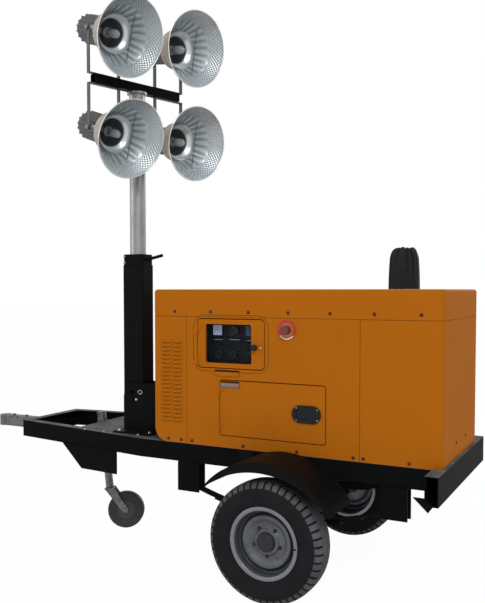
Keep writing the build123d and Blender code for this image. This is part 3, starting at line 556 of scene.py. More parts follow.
def rounded_loop(low, high, radius, y, steps):
    """A rectangle with round corners in the X and Z directions: four quarter arcs of that many points,
    joined by straight runs."""
    quarter = np.linspace(0.0, 0.5 * np.pi, steps)
    turn = (quarter[None] + 0.5 * np.pi * np.arange(4)[:, None]).ravel()
    sign_x = np.repeat([1.0, -1.0, -1.0, 1.0], steps)
    sign_z = np.repeat([1.0, 1.0, -1.0, -1.0], steps)
    middle = 0.5 * (np.asarray(low) + high)
    reach = 0.5 * (np.asarray(high) - low) - radius
    x = middle[0] + sign_x * reach[0] + radius * np.cos(turn)
    z = middle[1] + sign_z * reach[1] + radius * np.sin(turn)
    return np.stack([x, np.full_like(x, y), z], -1)


def domes(name, spots, outward, radius, height, body, material, sides=10):
    """Domed screw heads on a flat side: nearly a quarter circle, turned about each spot's outward direction
    and closed by a small flat face."""
    spots = np.asarray(spots, float)
    outward = np.asarray(outward, float)
    helper = np.array([0.0, 0.0, 1.0]) if abs(outward[2]) < 0.9 else np.array([1.0, 0.0, 0.0])
    side = np.cross(helper, outward)
    up = np.cross(outward, side)
    rise, turn = np.meshgrid(np.linspace(0.0, 0.47 * np.pi, 4),
                             np.linspace(0, 2 * np.pi, sides, endpoint=False), indexing="ij")
    ring = np.cos(turn)[..., None] * side + np.sin(turn)[..., None] * up
    shape = radius * np.cos(rise)[..., None] * ring + height * np.sin(rise)[..., None] * outward
    points = spots[:, None, None] + shape[None]
    caps = [row(4 * block + 3, sides) for block in range(len(spots))]
    faces = grid_faces(4, sides, closed=True, blocks=len(spots))
    return new_piece(name, points, faces, body, material, caps=caps)


def thicken(piece, thickness, offset=0.0):
    """Gives a sheet its thickness: half on each side, or with offset -1 all of it behind the surface."""
    sheet = piece.modifiers.new("sheet", "SOLIDIFY")
    sheet.thickness = thickness
    sheet.offset = offset


def soften(piece, width, angle=30.0):
    """Rounds the edges at which the surface turns by more than the angle, in degrees."""
    edge = piece.modifiers.new("soft_edge", "BEVEL")
    edge.width = width
    edge.segments = 2
    edge.angle_limit = math.radians(angle)


def slab(name, outline, thickness, outward, body, material):
    """A flat plate: its outline is carried outward by the thickness, and both faces are closed."""
    outline = np.asarray(outline, float)
    points = np.stack([outline, outline + np.asarray(outward, float) * thickness])
    count = len(outline)
    piece = new_piece(name, points, grid_faces(2, count, closed=True), body, material,
                      smooth=False, caps=[row(0, count, True), row(1, count)])
    soften(piece, min(0.0006, thickness / 3))


def lamp_axes(number):
    """Hub point, looking direction, and the directions to the lamp's side and up, in metres."""
    hub = np.array(JOINTS[f"lamp_{number}_tilt"]["pos_m"])
    pitch = math.radians(LAMP_PITCH[number])
    look = np.array([math.cos(HEAD_PAN) * math.cos(pitch), -math.sin(HEAD_PAN) * math.cos(pitch),
                     math.sin(pitch)])
    side = np.array([math.sin(HEAD_PAN), math.cos(HEAD_PAN), 0.0])
    return hub, look, side, np.cross(look, side)


# Settings

class TowerColours(bpy.types.PropertyGroup):
    """Colours a user would change."""

    canopy: bpy.props.FloatVectorProperty(
        name="Canopy", description="Paint of the canopy", subtype="COLOR", size=3,
        min=0.0, max=1.0, default=(0.405, 0.118, 0.0055))
    chassis: bpy.props.FloatVectorProperty(
        name="Chassis", description="Paint of the frame, fenders and mast", subtype="COLOR", size=3,
        min=0.0, max=1.0, default=(0.0045, 0.005, 0.0048))
    dust: bpy.props.FloatVectorProperty(
        name="Dust", description="Road dust", subtype="COLOR", size=3,
        min=0.0, max=1.0, default=(0.075, 0.073, 0.07))
    reflector: bpy.props.FloatVectorProperty(
        name="Reflector", description="Metal inside the lamps", subtype="COLOR", size=3,
        min=0.0, max=1.0, default=(0.45, 0.49, 0.51))
    lamp_ring: bpy.props.FloatVectorProperty(
        name="Lamp Ring", description="Lacquer of the lamps' necks and backs", subtype="COLOR", size=3,
        min=0.0, max=1.0, default=(0.43, 0.38, 0.31))
    rim: bpy.props.FloatVectorProperty(
        name="Rims", description="Paint of the road wheels", subtype="COLOR", size=3,
        min=0.0, max=1.0, default=(0.115, 0.12, 0.137))


class TowerSizes(bpy.types.PropertyGroup):
    """Sizes a user would change."""

    hood_rise: bpy.props.FloatProperty(
        name="Louvre Rise", description="How far each louvre stands out", subtype="DISTANCE",
        unit="LENGTH", default=0.008, min=0.001, max=0.02)
    screw_radius: bpy.props.FloatProperty(
        name="Screw Radius", description="Radius of the canopy's screw heads", subtype="DISTANCE",
        unit="LENGTH", default=0.009, min=0.003, max=0.02)
    tread_depth: bpy.props.FloatProperty(
        name="Tread Depth", description="Depth of the grooves in the tyres", subtype="DISTANCE",
        unit="LENGTH", default=0.007, min=0.001, max=0.01)
    dish_radius: bpy.props.FloatProperty(
        name="Dish Radius", description="Radius of each lamp at its rim", subtype="DISTANCE",
        unit="LENGTH", default=0.210, min=0.19, max=0.222)
    dish_reach: bpy.props.FloatProperty(
        name="Dish Reach", description="From a lamp's pins to its rim", subtype="DISTANCE",
        unit="LENGTH", default=0.266, min=0.25, max=0.28)


class TowerOperator:
    """What the light tower's operators share."""

    bl_options = {"REGISTER", "UNDO"}

    @property
    def colours(self):
        return bpy.context.scene.tower_colours

    @property
    def sizes(self):
        return bpy.context.scene.tower_sizes

    def paint(self, name, colour, **looks):
        """Satin paint under the tower's own dust."""
        return satin_paint(name, colour, self.colours.dust, **looks)


class TOWER_OT_stage(TowerOperator, bpy.types.Operator):
    """Sets the floor, the studio lights and the camera"""

    bl_idname = "tower.stage"
    bl_label = "Stage"

    def execute(self, context):
        floor = bpy.data.meshes.new("floor")
        far = 60.0
        corners = [(-far, -far, 0.0), (far, -far, 0.0), (far, far, 0.0), (-far, far, 0.0)]
        floor.from_pydata(corners, [], [(0, 1, 2, 3)])
        ground = bpy.data.objects.new("floor", floor)
        context.scene.collection.objects.link(ground)
        net = Finish("studio_floor")
        net.wire("Base Color", (1.0, 1.0, 1.0))
        net.wire("Roughness", 0.85 + net.noise(0.5) * 0.1)
        white = net.add("ShaderNodeEmission", None, {"Color": (1.0, 1.0, 1.0, 1.0), "Strength": 1.0})
        # A little of the lit floor is left in the page's white, for the shadows.
        net.put(net.output.inputs["Surface"], net.blend(net.looking() * 0.97, net.shader, white))
        floor.materials.append(net.material)

        world = bpy.data.worlds.new("studio")
        context.scene.world = world
        sky = Net(world)
        soft = sky.add("ShaderNodeBackground", None, {"Color": (0.94, 0.97, 1.0, 1.0), "Strength": 0.5})
        page = sky.add("ShaderNodeBackground", None, {"Color": (1.0, 1.0, 1.0, 1.0), "Strength": 1.0})
        sky.add("ShaderNodeOutputWorld", None, {"Surface": sky.blend(sky.looking(), soft, page)})

        # name, place, aimed at, power, size
        lights = [
            ("key_light", (4.5, -6.0, 6.5), (0.2, 0.0, 1.0), 330.0, 3.5),
            ("fill_light", (-6.0, -4.5, 3.5), (0.0, 0.0, 1.2), 110.0, 4.0),
            ("rim_light", (3.0, 6.0, 5.0), (0.0, 0.0, 1.4), 120.0, 3.0),
        ]
        for name, place, aim, power, size in lights:
            data = bpy.data.lights.new(name, "AREA")
            data.energy = power
            data.size = size
            lamp = bpy.data.objects.new(name, data)
            lamp.location = place
            look = np.array(aim) - np.array(place)
            flat = math.hypot(look[0], look[1])
            heading = math.atan2(look[1], look[0]) - math.pi / 2
            lamp.rotation_euler = (math.atan2(flat, -look[2]), 0.0, heading)
            context.scene.collection.objects.link(lamp)

        camera = bpy.data.cameras.new("photo_camera")
        camera.sensor_width = 36.0
        camera.lens = 45.13
        camera.shift_x = -0.0096
        camera.shift_y = 0.0362
        eye = bpy.data.objects.new("photo_camera", camera)
        eye.location = (2.319, -3.801, 1.495)
        eye.rotation_euler = (math.radians(87.5), 0.0, math.radians(27.4))
        context.scene.collection.objects.link(eye)
        context.scene.camera = eye
        context.scene.view_settings.view_transform = "Standard"
        return {"FINISHED"}


class TOWER_OT_canopy(TowerOperator, bpy.types.Operator):
    """Paints the canopy and its doors, and adds the louvre hoods, the screws and the slots with lips"""

    bl_idname = "tower.canopy"
    bl_label = "Canopy"

    def execute(self, context):
        paint = self.paint("canopy_paint", self.colours.canopy, gloss=0.56, dusty_to=0.8, shine=0.02,
                           dirty=0.15, seams=PANEL_SEAMS)
        dress([n for n in frame["nodes"] if n.startswith("canopy_")], paint)
        dress(["window_door", "service_door_left", "service_door_right"], paint)

        # Hoods in two columns of 20. Each stands out by rise * sin(pi * across)^0.4 * sin(pi / 2 * down),
        # so it is closed at the top and the sides and open at its lower edge.
        u, v = np.meshgrid(np.linspace(0.0, 1.0, 11), np.linspace(0.0, 1.0, 5), indexing="ij")
        out = self.sizes.hood_rise * np.sin(np.pi * u) ** 0.4 * np.sin(0.5 * np.pi * v)
        rows = 0.800 + 0.0222 * np.arange(20)
        z = rows[:, None, None] + 0.009 - 0.013 * v[None]
        for name, side in SIDES.items():
            blocks = []
            for centre, width in ((0.058, 0.066), (0.1285, 0.065)):
                x = centre + (u - 0.5) * width
                y = side * (SIDE_Y + out)
                blocks.append(np.stack(np.broadcast_arrays(x[None], y[None], z), -1))
            points = np.concatenate(blocks)
            faces = grid_faces(11, 5, blocks=len(points))
            piece = new_piece(f"hoods_canopy_{name}_front", points, faces if side < 0 else faces[:, ::-1],
                              "trailer", paint)
            thicken(piece, 0.0012)

        rusty = cast_metal("screw_metal", (0.055, 0.012, 0.008))
        radius = self.sizes.screw_radius
        top = [(0.114 + 0.221 * k, 1.383) for k in range(7)]
        bottom = [(x, 0.697) for x in (0.070, 0.152, 0.219, 0.526, 0.826, 1.119, 1.169, 1.390)]
        for name, side in SIDES.items():
            spots = [(x, side * SIDE_Y, z) for x, z in top + bottom]
            domes(f"screws_{name}", spots, (0.0, side, 0.0), radius, 0.5 * radius, "trailer",
                  rusty)
        rear_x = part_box("canopy_rear")[1][0]
        domes("screws_rear", [(rear_x, -0.107, 0.757), (rear_x, 0.107, 0.757)], (1.0, 0.0, 0.0), radius,
              0.5 * radius, "trailer", rusty)

        # Two slots, each a thin near-black plate of painted shade, with a lip under it: a sheet that leaves
        # the side, bends over
        #         and comes back as a half ellipse, 7 mm out and 23 mm tall. The lower pair lies on the
        #         service door.
        slot_shade_sheet = moulded("slot_shadow", (0.002, 0.002, 0.002), 0.8)
        grey = self.paint("lip_paint", (0.16, 0.16, 0.165), gloss=0.4, dusty_to=0.3, shine=0.4, dirty=0.3)
        slots = (("upper", 0.360, 0.504, 1.073, "trailer", paint),
                 ("lower", 0.397, 0.504, 1.0165, "service_left", grey))
        for name, low, high, z_top, body, finish in slots:
            u, v = np.meshgrid(np.linspace(low, high, 9), np.linspace(0.0, np.pi, 9), indexing="ij")
            points = np.stack([u, -SIDE_Y - 0.007 * np.sin(v), z_top - 0.0115 + 0.0115 * np.cos(v)], -1)
            lip = new_piece(f"lip_{name}", points, grid_faces(9, 9), body, finish)
            thicken(lip, 0.0014)
            # The slot's opening is a thin near-black plate: painted shade.
            gap = rounded_loop((low, z_top + 0.001), (high, z_top + 0.010), 0.004, -SIDE_Y, 4)
            slab(f"slot_{name}", gap, 0.0008, (0.0, -1.0, 0.0), body, slot_shade_sheet)
        return {"FINISHED"}


class TOWER_OT_chassis(TowerOperator, bpy.types.Operator):
    """Finishes the frame, the axle, the fenders and the coupling, and adds fender skirts and deck bolts"""

    bl_idname = "tower.chassis"
    bl_label = "Chassis"

    def execute(self, context):
        rails = self.paint("chassis_paint", self.colours.chassis, gloss=0.5, dusty_to=0.7, shine=0.015,
                           dirty=0.04, ledge=0.680)
        dress(["chassis_frame", "rear_beam"], rails)
        black = self.paint("fender_paint", self.colours.chassis, dusty_to=0.7, shine=0.04, dirty=0.04)
        dress(["fender_left", "fender_right", "axle", "leaf_spring_left", "leaf_spring_right"], black)
        deck = self.paint("deck_paint", (0.02, 0.023, 0.026), gloss=0.5, dusty_to=1.1, shine=0.3, dirty=1.6)
        dress(["front_deck"], deck)
        dress(["tow_coupling"], zinc("coupling_metal", (0.17, 0.17, 0.162), (0.09, 0.09, 0.086), 0.5))
        dress(["engine_block"], cast_metal("engine_metal", (0.12, 0.125, 0.13)))

        # Skirt on each fender's outer edge. It hangs from the sheet's edge toward the wheel's middle by
        # 45 mm * sin(pi * share)^0.8 + 6 mm, where share runs from 0 to 1 along the fender, and it lies
        # 0.5 mm inside the fender's top and outer side.
        inset = 0.0005
        turn = np.radians(np.linspace(27.5, 140.0, 61))
        share = (turn - turn[0]) / (turn[-1] - turn[0])
        deep = 0.045 * np.sin(np.pi * share) ** 0.8 + 0.006
        level, turns = np.meshgrid(np.linspace(0.0, 1.0, 5), turn, indexing="ij")
        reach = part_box("fender_left")[1][2] - WHEEL_HUBS["left"][2] - inset - level * deep[None]
        faces = grid_faces(*level.shape)
        for name, side in SIDES.items():
            hub = WHEEL_HUBS[name]
            outer = abs(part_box(f"fender_{name}")[0 if side < 0 else 1][1]) - inset
            points = np.stack([hub[0] + reach * np.cos(turns), np.full_like(reach, side * outer),
                               hub[2] + reach * np.sin(turns)], -1)
            skirt = new_piece(f"fender_skirt_{name}", points, faces if side < 0 else faces[:, ::-1],
                              "trailer", black)
            thicken(skirt, 0.0025, -1.0)

        bolts = zinc("bolt_zinc", (0.3, 0.3, 0.3), (0.18, 0.18, 0.18))
        deck_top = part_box("front_deck")[1][2]
        spots = [(x, y, deck_top) for x in (-0.560, -0.420, -0.180) for y in (-0.330, 0.330)]
        domes("deck_bolts", spots, (0.0, 0.0, 1.0), 0.009, 0.007, "trailer", bolts, 6)
        return {"FINISHED"}


class TOWER_OT_wheels(TowerOperator, bpy.types.Operator):
    """Shapes the rims with their nuts and valves, and the tyres with their tread"""

    bl_idname = "tower.wheels"
    bl_label = "Wheels"

    def execute(self, context):
        paint = self.rim_paint()
        dress(["wheel_left", "wheel_right"], paint)
        tread = rubber("tyre_rubber", (0.006, 0.006, 0.0065), (0.135, 0.14, 0.148), 0.8)
        dress(["tyre_left", "tyre_right"], tread)
        depth = self.sizes.tread_depth
        steps = 720
        # Section of the tyre as distance outward and radius, from bead to bead. The crown between the two
        # sidewalls drops by 8.5 mm * (distance / half width)^4.
        section = np.array([(-0.0590, 0.1655), (-0.0640, 0.1780), (-0.0700, 0.1900), (-0.0780, 0.2080),
                            (-0.0822, 0.2300), (-0.0820, 0.2480), (-0.0785, 0.2660), (-0.0730, 0.2780),
                            (-0.0660, 0.2870)])
        crown_y = np.linspace(-TREAD_HALF, TREAD_HALF, 41)
        crown = np.stack([crown_y, 0.2970 - 0.0085 * (crown_y / TREAD_HALF) ** 4], -1)
        profile = np.concatenate([section, crown, section[::-1] * np.array([-1.0, 1.0])])

        def grooves(along, angle):
            """How far the tread is cut in: three zigzag grooves and rows of cross slots of the tread's
            depth. Over the shoulders the slots run on, 6 mm deep."""
            off = np.abs(along)
            zigzag = 0.0070 * np.abs(((angle * TREAD_BLOCKS / np.pi) % 2.0) - 1.0) - 0.0035
            groove = np.zeros(np.broadcast(along, angle).shape)
            for centre in (-0.034, 0.0, 0.034):
                groove = np.maximum(groove, np.exp(-(((along - centre - zigzag) / 0.0028) ** 4)))
            cut = np.abs(np.sin(angle * TREAD_BLOCKS + np.sign(along) * 0.8)) < 0.24
            on_tread = (off < TREAD_HALF).astype(float)
            shoulder = cut & (off > TREAD_HALF) & (off < 0.0795)
            return -depth * np.maximum(groove, cut & (off > 0.040)) * on_tread - 0.006 * shoulder

        # Rim as distance outward and radius: the back of the disc, the barrel, both lips, then the disc's
        # front and the hub.
        rim = [(-0.030, 0.020), (-0.030, 0.040), (0.008, 0.042), (0.012, 0.072), (0.012, 0.094),
               (0.026, 0.112), (0.026, 0.127), (0.010, 0.141), (0.008, 0.152), (-0.060, 0.1545),
               (-0.0665, 0.159), (-0.069, 0.166), (-0.069, 0.1745), (-0.0675, 0.1775), (-0.0655, 0.1775),
               (-0.065, 0.165), (-0.056, 0.163), (0.056, 0.163), (0.065, 0.165), (0.0655, 0.1775),
               (0.0675, 0.1775), (0.069, 0.1745), (0.069, 0.166), (0.0665, 0.159), (0.060, 0.1545),
               (0.022, 0.152), (0.018, 0.146), (0.018, 0.140), (0.033, 0.127), (0.033, 0.112),
               (0.020, 0.094), (0.020, 0.072), (0.023, 0.066), (0.030, 0.062), (0.030, 0.047),
               (0.046, 0.045), (0.050, 0.040), (0.052, 0.020)]
        dark = cast_metal("nut_metal", (0.02, 0.02, 0.021))
        stem_rubber = moulded("valve_rubber", (0.006, 0.006, 0.0065), 0.6)
        bolt_circle = 0.0700
        turn = np.radians(-90.0 + 72.0 * np.arange(5))
        for name, side in SIDES.items():
            hub = np.array(WHEEL_HUBS[name])
            body = f"wheel_{name}"
            outward = (0.0, side, 0.0)
            points = turned(profile, steps, hub, (0.0, 1.0, 0.0), grooves)
            faces = grid_faces(len(profile), steps, closed=True)
            skin = new_piece(f"tyre_skin_{name}", points, faces, body, tread,
                             wrap=turned_wrap(profile, steps))
            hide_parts(f"tyre_{name}")
            disc = turned_piece(f"rim_{name}", rim, 144, hub, outward, body, paint)
            soften(disc, 0.0015, 35.0)
            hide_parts(f"wheel_{name}")
            spots = hub + np.stack([bolt_circle * np.cos(turn), np.full(5, side * 0.0205),
                                    bolt_circle * np.sin(turn)], -1)
            domes(f"nuts_{name}", spots, outward, 0.0105, 0.015, body, dark, 6)
            foot = hub + np.array([0.146, side * 0.056, 0.0])
            stem = foot + np.linspace(0.0, 1.0, 8)[:, None] * np.array([0.025, side * 0.0175, 0.0])
            rod_piece(f"valve_{name}", stem, 0.0036, (0.0, 0.0, 1.0), body, stem_rubber)
        return {"FINISHED"}

    def rim_paint(self):
        """Silver paint with a painted highlight on the lip, painted shade in the outer groove, and dark at
        the hub.
        """
        net = Finish("rim_paint")
        reach = net.spread(WHEEL_HUBS["left"])
        lip = reach.between(0.155, 0.160)
        groove = reach.band(0.124, 0.130, 0.150, 0.156)
        hub = reach.below(0.046, 0.050)
        grime = net.noise(14.0, 6.0, 0.65).between(0.35, 0.7)
        silver = net.tint(grime * 0.5, self.colours.rim, darker(self.colours.rim, 0.5))
        # Painted shade in the outer groove.
        shaded = net.tint(groove * 0.75, silver, (0.022, 0.022, 0.024))
        # Painted highlight on the lip.
        lip_lit = net.tint(lip * 0.5, shaded, (0.26, 0.27, 0.29))
        net.wire("Base Color", net.tint(hub * 0.85, lip_lit, (0.016, 0.016, 0.017)))
        net.wire("Metallic", 0.5 + lip * 0.2 - hub * 0.3)
        net.wire("Specular IOR Level", 0.15)
        net.wire("Roughness", 0.36 + grime * 0.25 - lip * 0.1)
        net.bump(net.noise(240.0, 2.0), 0.12, 0.0005)
        return net.material


class TOWER_OT_lamps(TowerOperator, bpy.types.Operator):
    """Shapes the lamps' cases and dishes, their bulbs, pins and wires"""

    bl_idname = "tower.lamps"
    bl_label = "Lamps"

    def execute(self, context):
        tip = self.sizes.dish_reach
        wide = self.sizes.dish_radius
        steps = 288
        neck = 0.098
        slope = (wide - 0.106) / (tip - neck)
        # Outside as distance along the axis and radius: back plate, case, ring and the back of the dish.
        case = [(-0.175, 0.010), (-0.175, 0.052), (-0.172, 0.060), (-0.164, 0.068)]
        case += [(s, 0.071) for s in np.linspace(-0.156, 0.044, 11)]
        case += [(0.052, 0.069), (0.060, 0.072), (0.062, 0.108), (0.064, 0.1095)]
        case += [(s, 0.1095) for s in np.linspace(0.068, 0.094, 4)]
        case += [(0.097, 0.1085)]
        back = [(s, 0.106 + slope * (s - neck)) for s in np.linspace(neck + 0.001, tip - 0.002, 8)]
        bead = [(tip + 0.001, wide + 0.002), (tip + 0.0035, wide + 0.001), (tip + 0.0035, wide - 0.003),
                (tip + 0.001, wide - 0.004)]
        # Inside: the bowl from the rim to the neck, and the cup in the neck.
        bowl = [(s, 0.102 + slope * (s - neck)) for s in np.linspace(tip - 0.002, neck + 0.001, 46)]
        cup = [(neck - 0.001, 0.1005), (0.090, 0.096), (0.084, 0.084), (0.078, 0.0765), (0.060, 0.068),
               (0.045, 0.060), (0.030, 0.050), (0.018, 0.042), (0.016, 0.012)]
        outside = case + back + bead
        profile = np.array(outside + bowl + cup)
        first_bowl = len(outside)
        s = profile[:, 0]
        inner = np.arange(len(profile)) >= first_bowl
        fins = ((s > -0.16) & (s < 0.048) & ~inner).astype(float)
        ribs = ((s > 0.066) & (s < 0.0955) & ~inner).astype(float)
        fluted = inner & (s > 0.113) & (s < 0.192)
        flutes = np.where(fluted, np.sin(np.pi * (s - 0.113) / 0.079) ** 0.5, 0.0)

        def ripple(along, angle):
            """Fins on the case, fine ribs on the ring and broad flutes in the inner half of the dish."""
            fin = 0.010 * np.clip(np.cos(16 * angle), 0.0, 1.0) ** 2
            rib = 0.0022 * np.cos(48 * angle)
            flute = -0.0045 * (0.5 + 0.5 * np.cos(DISH_FLUTES * angle)) ** 1.3
            return fins[:, None] * fin + ribs[:, None] * rib + flutes[:, None] * flute

        housing = lamp_housing("lamp_housing_finish", (0.085, 0.085, 0.083), self.colours.lamp_ring, 0.061)
        mirror = reflector_metal("reflector_finish", self.colours.reflector, 0.0085)
        glass = self.lamp_glass()
        steel = zinc("lamp_pin_zinc", (0.2, 0.2, 0.2), (0.12, 0.12, 0.12))
        black = moulded("lamp_wire_black", (0.03, 0.034, 0.036), 0.5)
        yoke = self.paint("yoke_paint", (0.085, 0.084, 0.082), gloss=0.4, dusty_to=0.1, shine=0.3, dirty=0.6)
        for kind, finish in (("lamp", housing), ("bulb", glass), ("yoke", yoke)):
            dress([f"{kind}_{n}" for n in LAMP_PITCH], finish)

        # Bulb and pin as distance along their axes and radius.
        bulb = [(0.017, 0.026), (0.044, 0.026), (0.047, 0.019), (0.053, 0.0165), (0.072, 0.0215),
                (0.095, 0.024), (0.118, 0.0235), (0.136, 0.019), (0.148, 0.010), (0.151, 0.003)]
        pin_half = [(0.060, 0.024), (0.091, 0.022), (0.092, 0.008), (0.107, 0.008), (0.108, 0.013),
                    (0.118, 0.013), (0.118, 0.006)]
        pin = [(-s, r) for s, r in reversed(pin_half)] + pin_half
        # Retaining wire: a chord of the dish that runs up and down, 72 mm off its middle and 160 mm from
        # the lamp's pins. Its half length follows from the dish's radius there.
        deep = 0.160
        off = 0.072
        half = math.sqrt((0.1015 + slope * (deep - neck)) ** 2 - off ** 2)
        level = np.linspace(-half, half, 13)[:, None]
        for number in LAMP_PITCH:
            body = f"lamp_{number}"
            hub, look, side, up = lamp_axes(number)
            lamp = turned_piece(f"lamp_body_{number}", profile, steps, hub, look, body,
                                housing, ripple)
            lamp.data.materials.append(mirror)
            index = np.zeros(len(lamp.data.polygons), dtype=np.int32)
            index[(first_bowl - 1) * steps:(len(profile) - 1) * steps] = 1
            index[-1] = 1
            lamp.data.polygons.foreach_set("material_index", index)
            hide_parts(f"lamp_{number}")
            light = turned_piece(f"lamp_glass_{number}", bulb, 48, hub, look, body, glass)
            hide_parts(f"bulb_{number}")
            turned_piece(f"lamp_pin_{number}", pin, 24, hub, side, body, steel)
            chord = hub + deep * look + off * side + level * up
            rod_piece(f"lamp_wire_{number}", chord, 0.0016, look, body, black, 8)
        return {"FINISHED"}

    def lamp_glass(self):
        """Frosted bulb that lets light through, on an opaque white socket."""
        net = Finish("lamp_glass_finish")
        socket = net.wrap()[1].below(0.0455, 0.0475)
        frost = net.noise(40.0, 3.0)
        net.wire("Base Color", net.tint(socket, (0.5, 0.54, 0.54), (0.32, 0.31, 0.28)))
        net.wire("Alpha", 0.5 + socket * 0.5)
        net.wire("Roughness", 0.12 + frost * 0.15 + socket * 0.35)
        net.material.surface_render_method = "BLENDED"
        return net.material


class TOWER_OT_mast(TowerOperator, bpy.types.Operator):
    """Finishes the mast and its head bar, and adds the bolts and the lock's spring pin"""

    bl_idname = "tower.mast"
    bl_label = "Mast"

    def execute(self, context):
        black = self.paint("mast_paint", self.colours.chassis, dusty_to=0.1, shine=0.025, dirty=0.03)
        dress(["mast_post", "mast_outer", "mast_collar", "head_bar"], black)
        dress(["mast_inner"], drawn_steel("mast_steel_finish", (0.30, 0.305, 0.30), (0.17, 0.175, 0.18)))
        bolts = zinc("mast_bolt_zinc", (0.42, 0.42, 0.41), (0.25, 0.25, 0.25), 0.3)
        low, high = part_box("mast_post")
        middle = 0.5 * (low[1] + high[1])
        plate_top = 0.690
        foot = [(x, middle + y, plate_top) for x in (-0.330, -0.130) for y in (-0.135, 0.135)]
        domes("mast_foot_bolts", foot, (0.0, 0.0, 1.0), 0.013, 0.011, "trailer", bolts, 6)

        # Curled spring pin by the lock, and the bolt beside the fold's pin, both on the cheek's outer face.
        outward = (0.0, -1.0, 0.0)
        cheek = middle - 0.0670
        curl = np.linspace(np.radians(215.0), np.radians(-120.0), 15)
        ring = np.stack([-0.232 + 0.014 * np.cos(curl), np.full(15, cheek - 0.0030),
                         0.908 + 0.011 * np.sin(curl)], -1)
        rod_piece("mast_spring_pin", ring, 0.0028, (0.0, 1.0, 0.0), "trailer", bolts)
        domes("mast_cheek_bolt", [(-0.262, cheek, 0.863)], outward, 0.009, 0.0065, "trailer",
              bolts, 6)
        collar = [(-0.345, middle - 0.0585, z) for z in (1.655, 1.690)]
        domes("mast_collar_bolts", collar, outward, 0.008, 0.007, "mast_column", bolts, 6)
        return {"FINISHED"}


class TOWER_OT_jockey(TowerOperator, bpy.types.Operator):
    """Finishes the jockey wheel and its leg"""

    bl_idname = "tower.jockey"
    bl_label = "Jockey Wheel"

    def execute(self, context):
        dress(["jockey_sleeve", "jockey_leg", "jockey_fork"],
              zinc("jockey_zinc", (0.17, 0.175, 0.18), (0.085, 0.09, 0.095)))
        # Black tyre, scuffed, that turns greyer within 60 mm of the wheel's middle.
        net = Finish("jockey_rubber_finish")
        core = net.spread(JOINTS["jockey_wheel_spin"]["pos_m"], (1.0, 1.0, 1.0)).below(0.060, 0.064)
        scuff = net.noise(22.0, 5.0, 0.65).between(0.4, 0.75)
        black = net.tint(scuff * 0.35, (0.009, 0.009, 0.0095), (0.06, 0.06, 0.058))
        net.wire("Base Color", net.tint(core * 0.6, black, (0.05, 0.052, 0.055)))
        net.wire("Roughness", 0.6 + scuff * 0.2)
        net.bump(net.noise(180.0, 3.0), 0.2, 0.0007)
        dress(["jockey_wheel"], net.material)
        return {"FINISHED"}


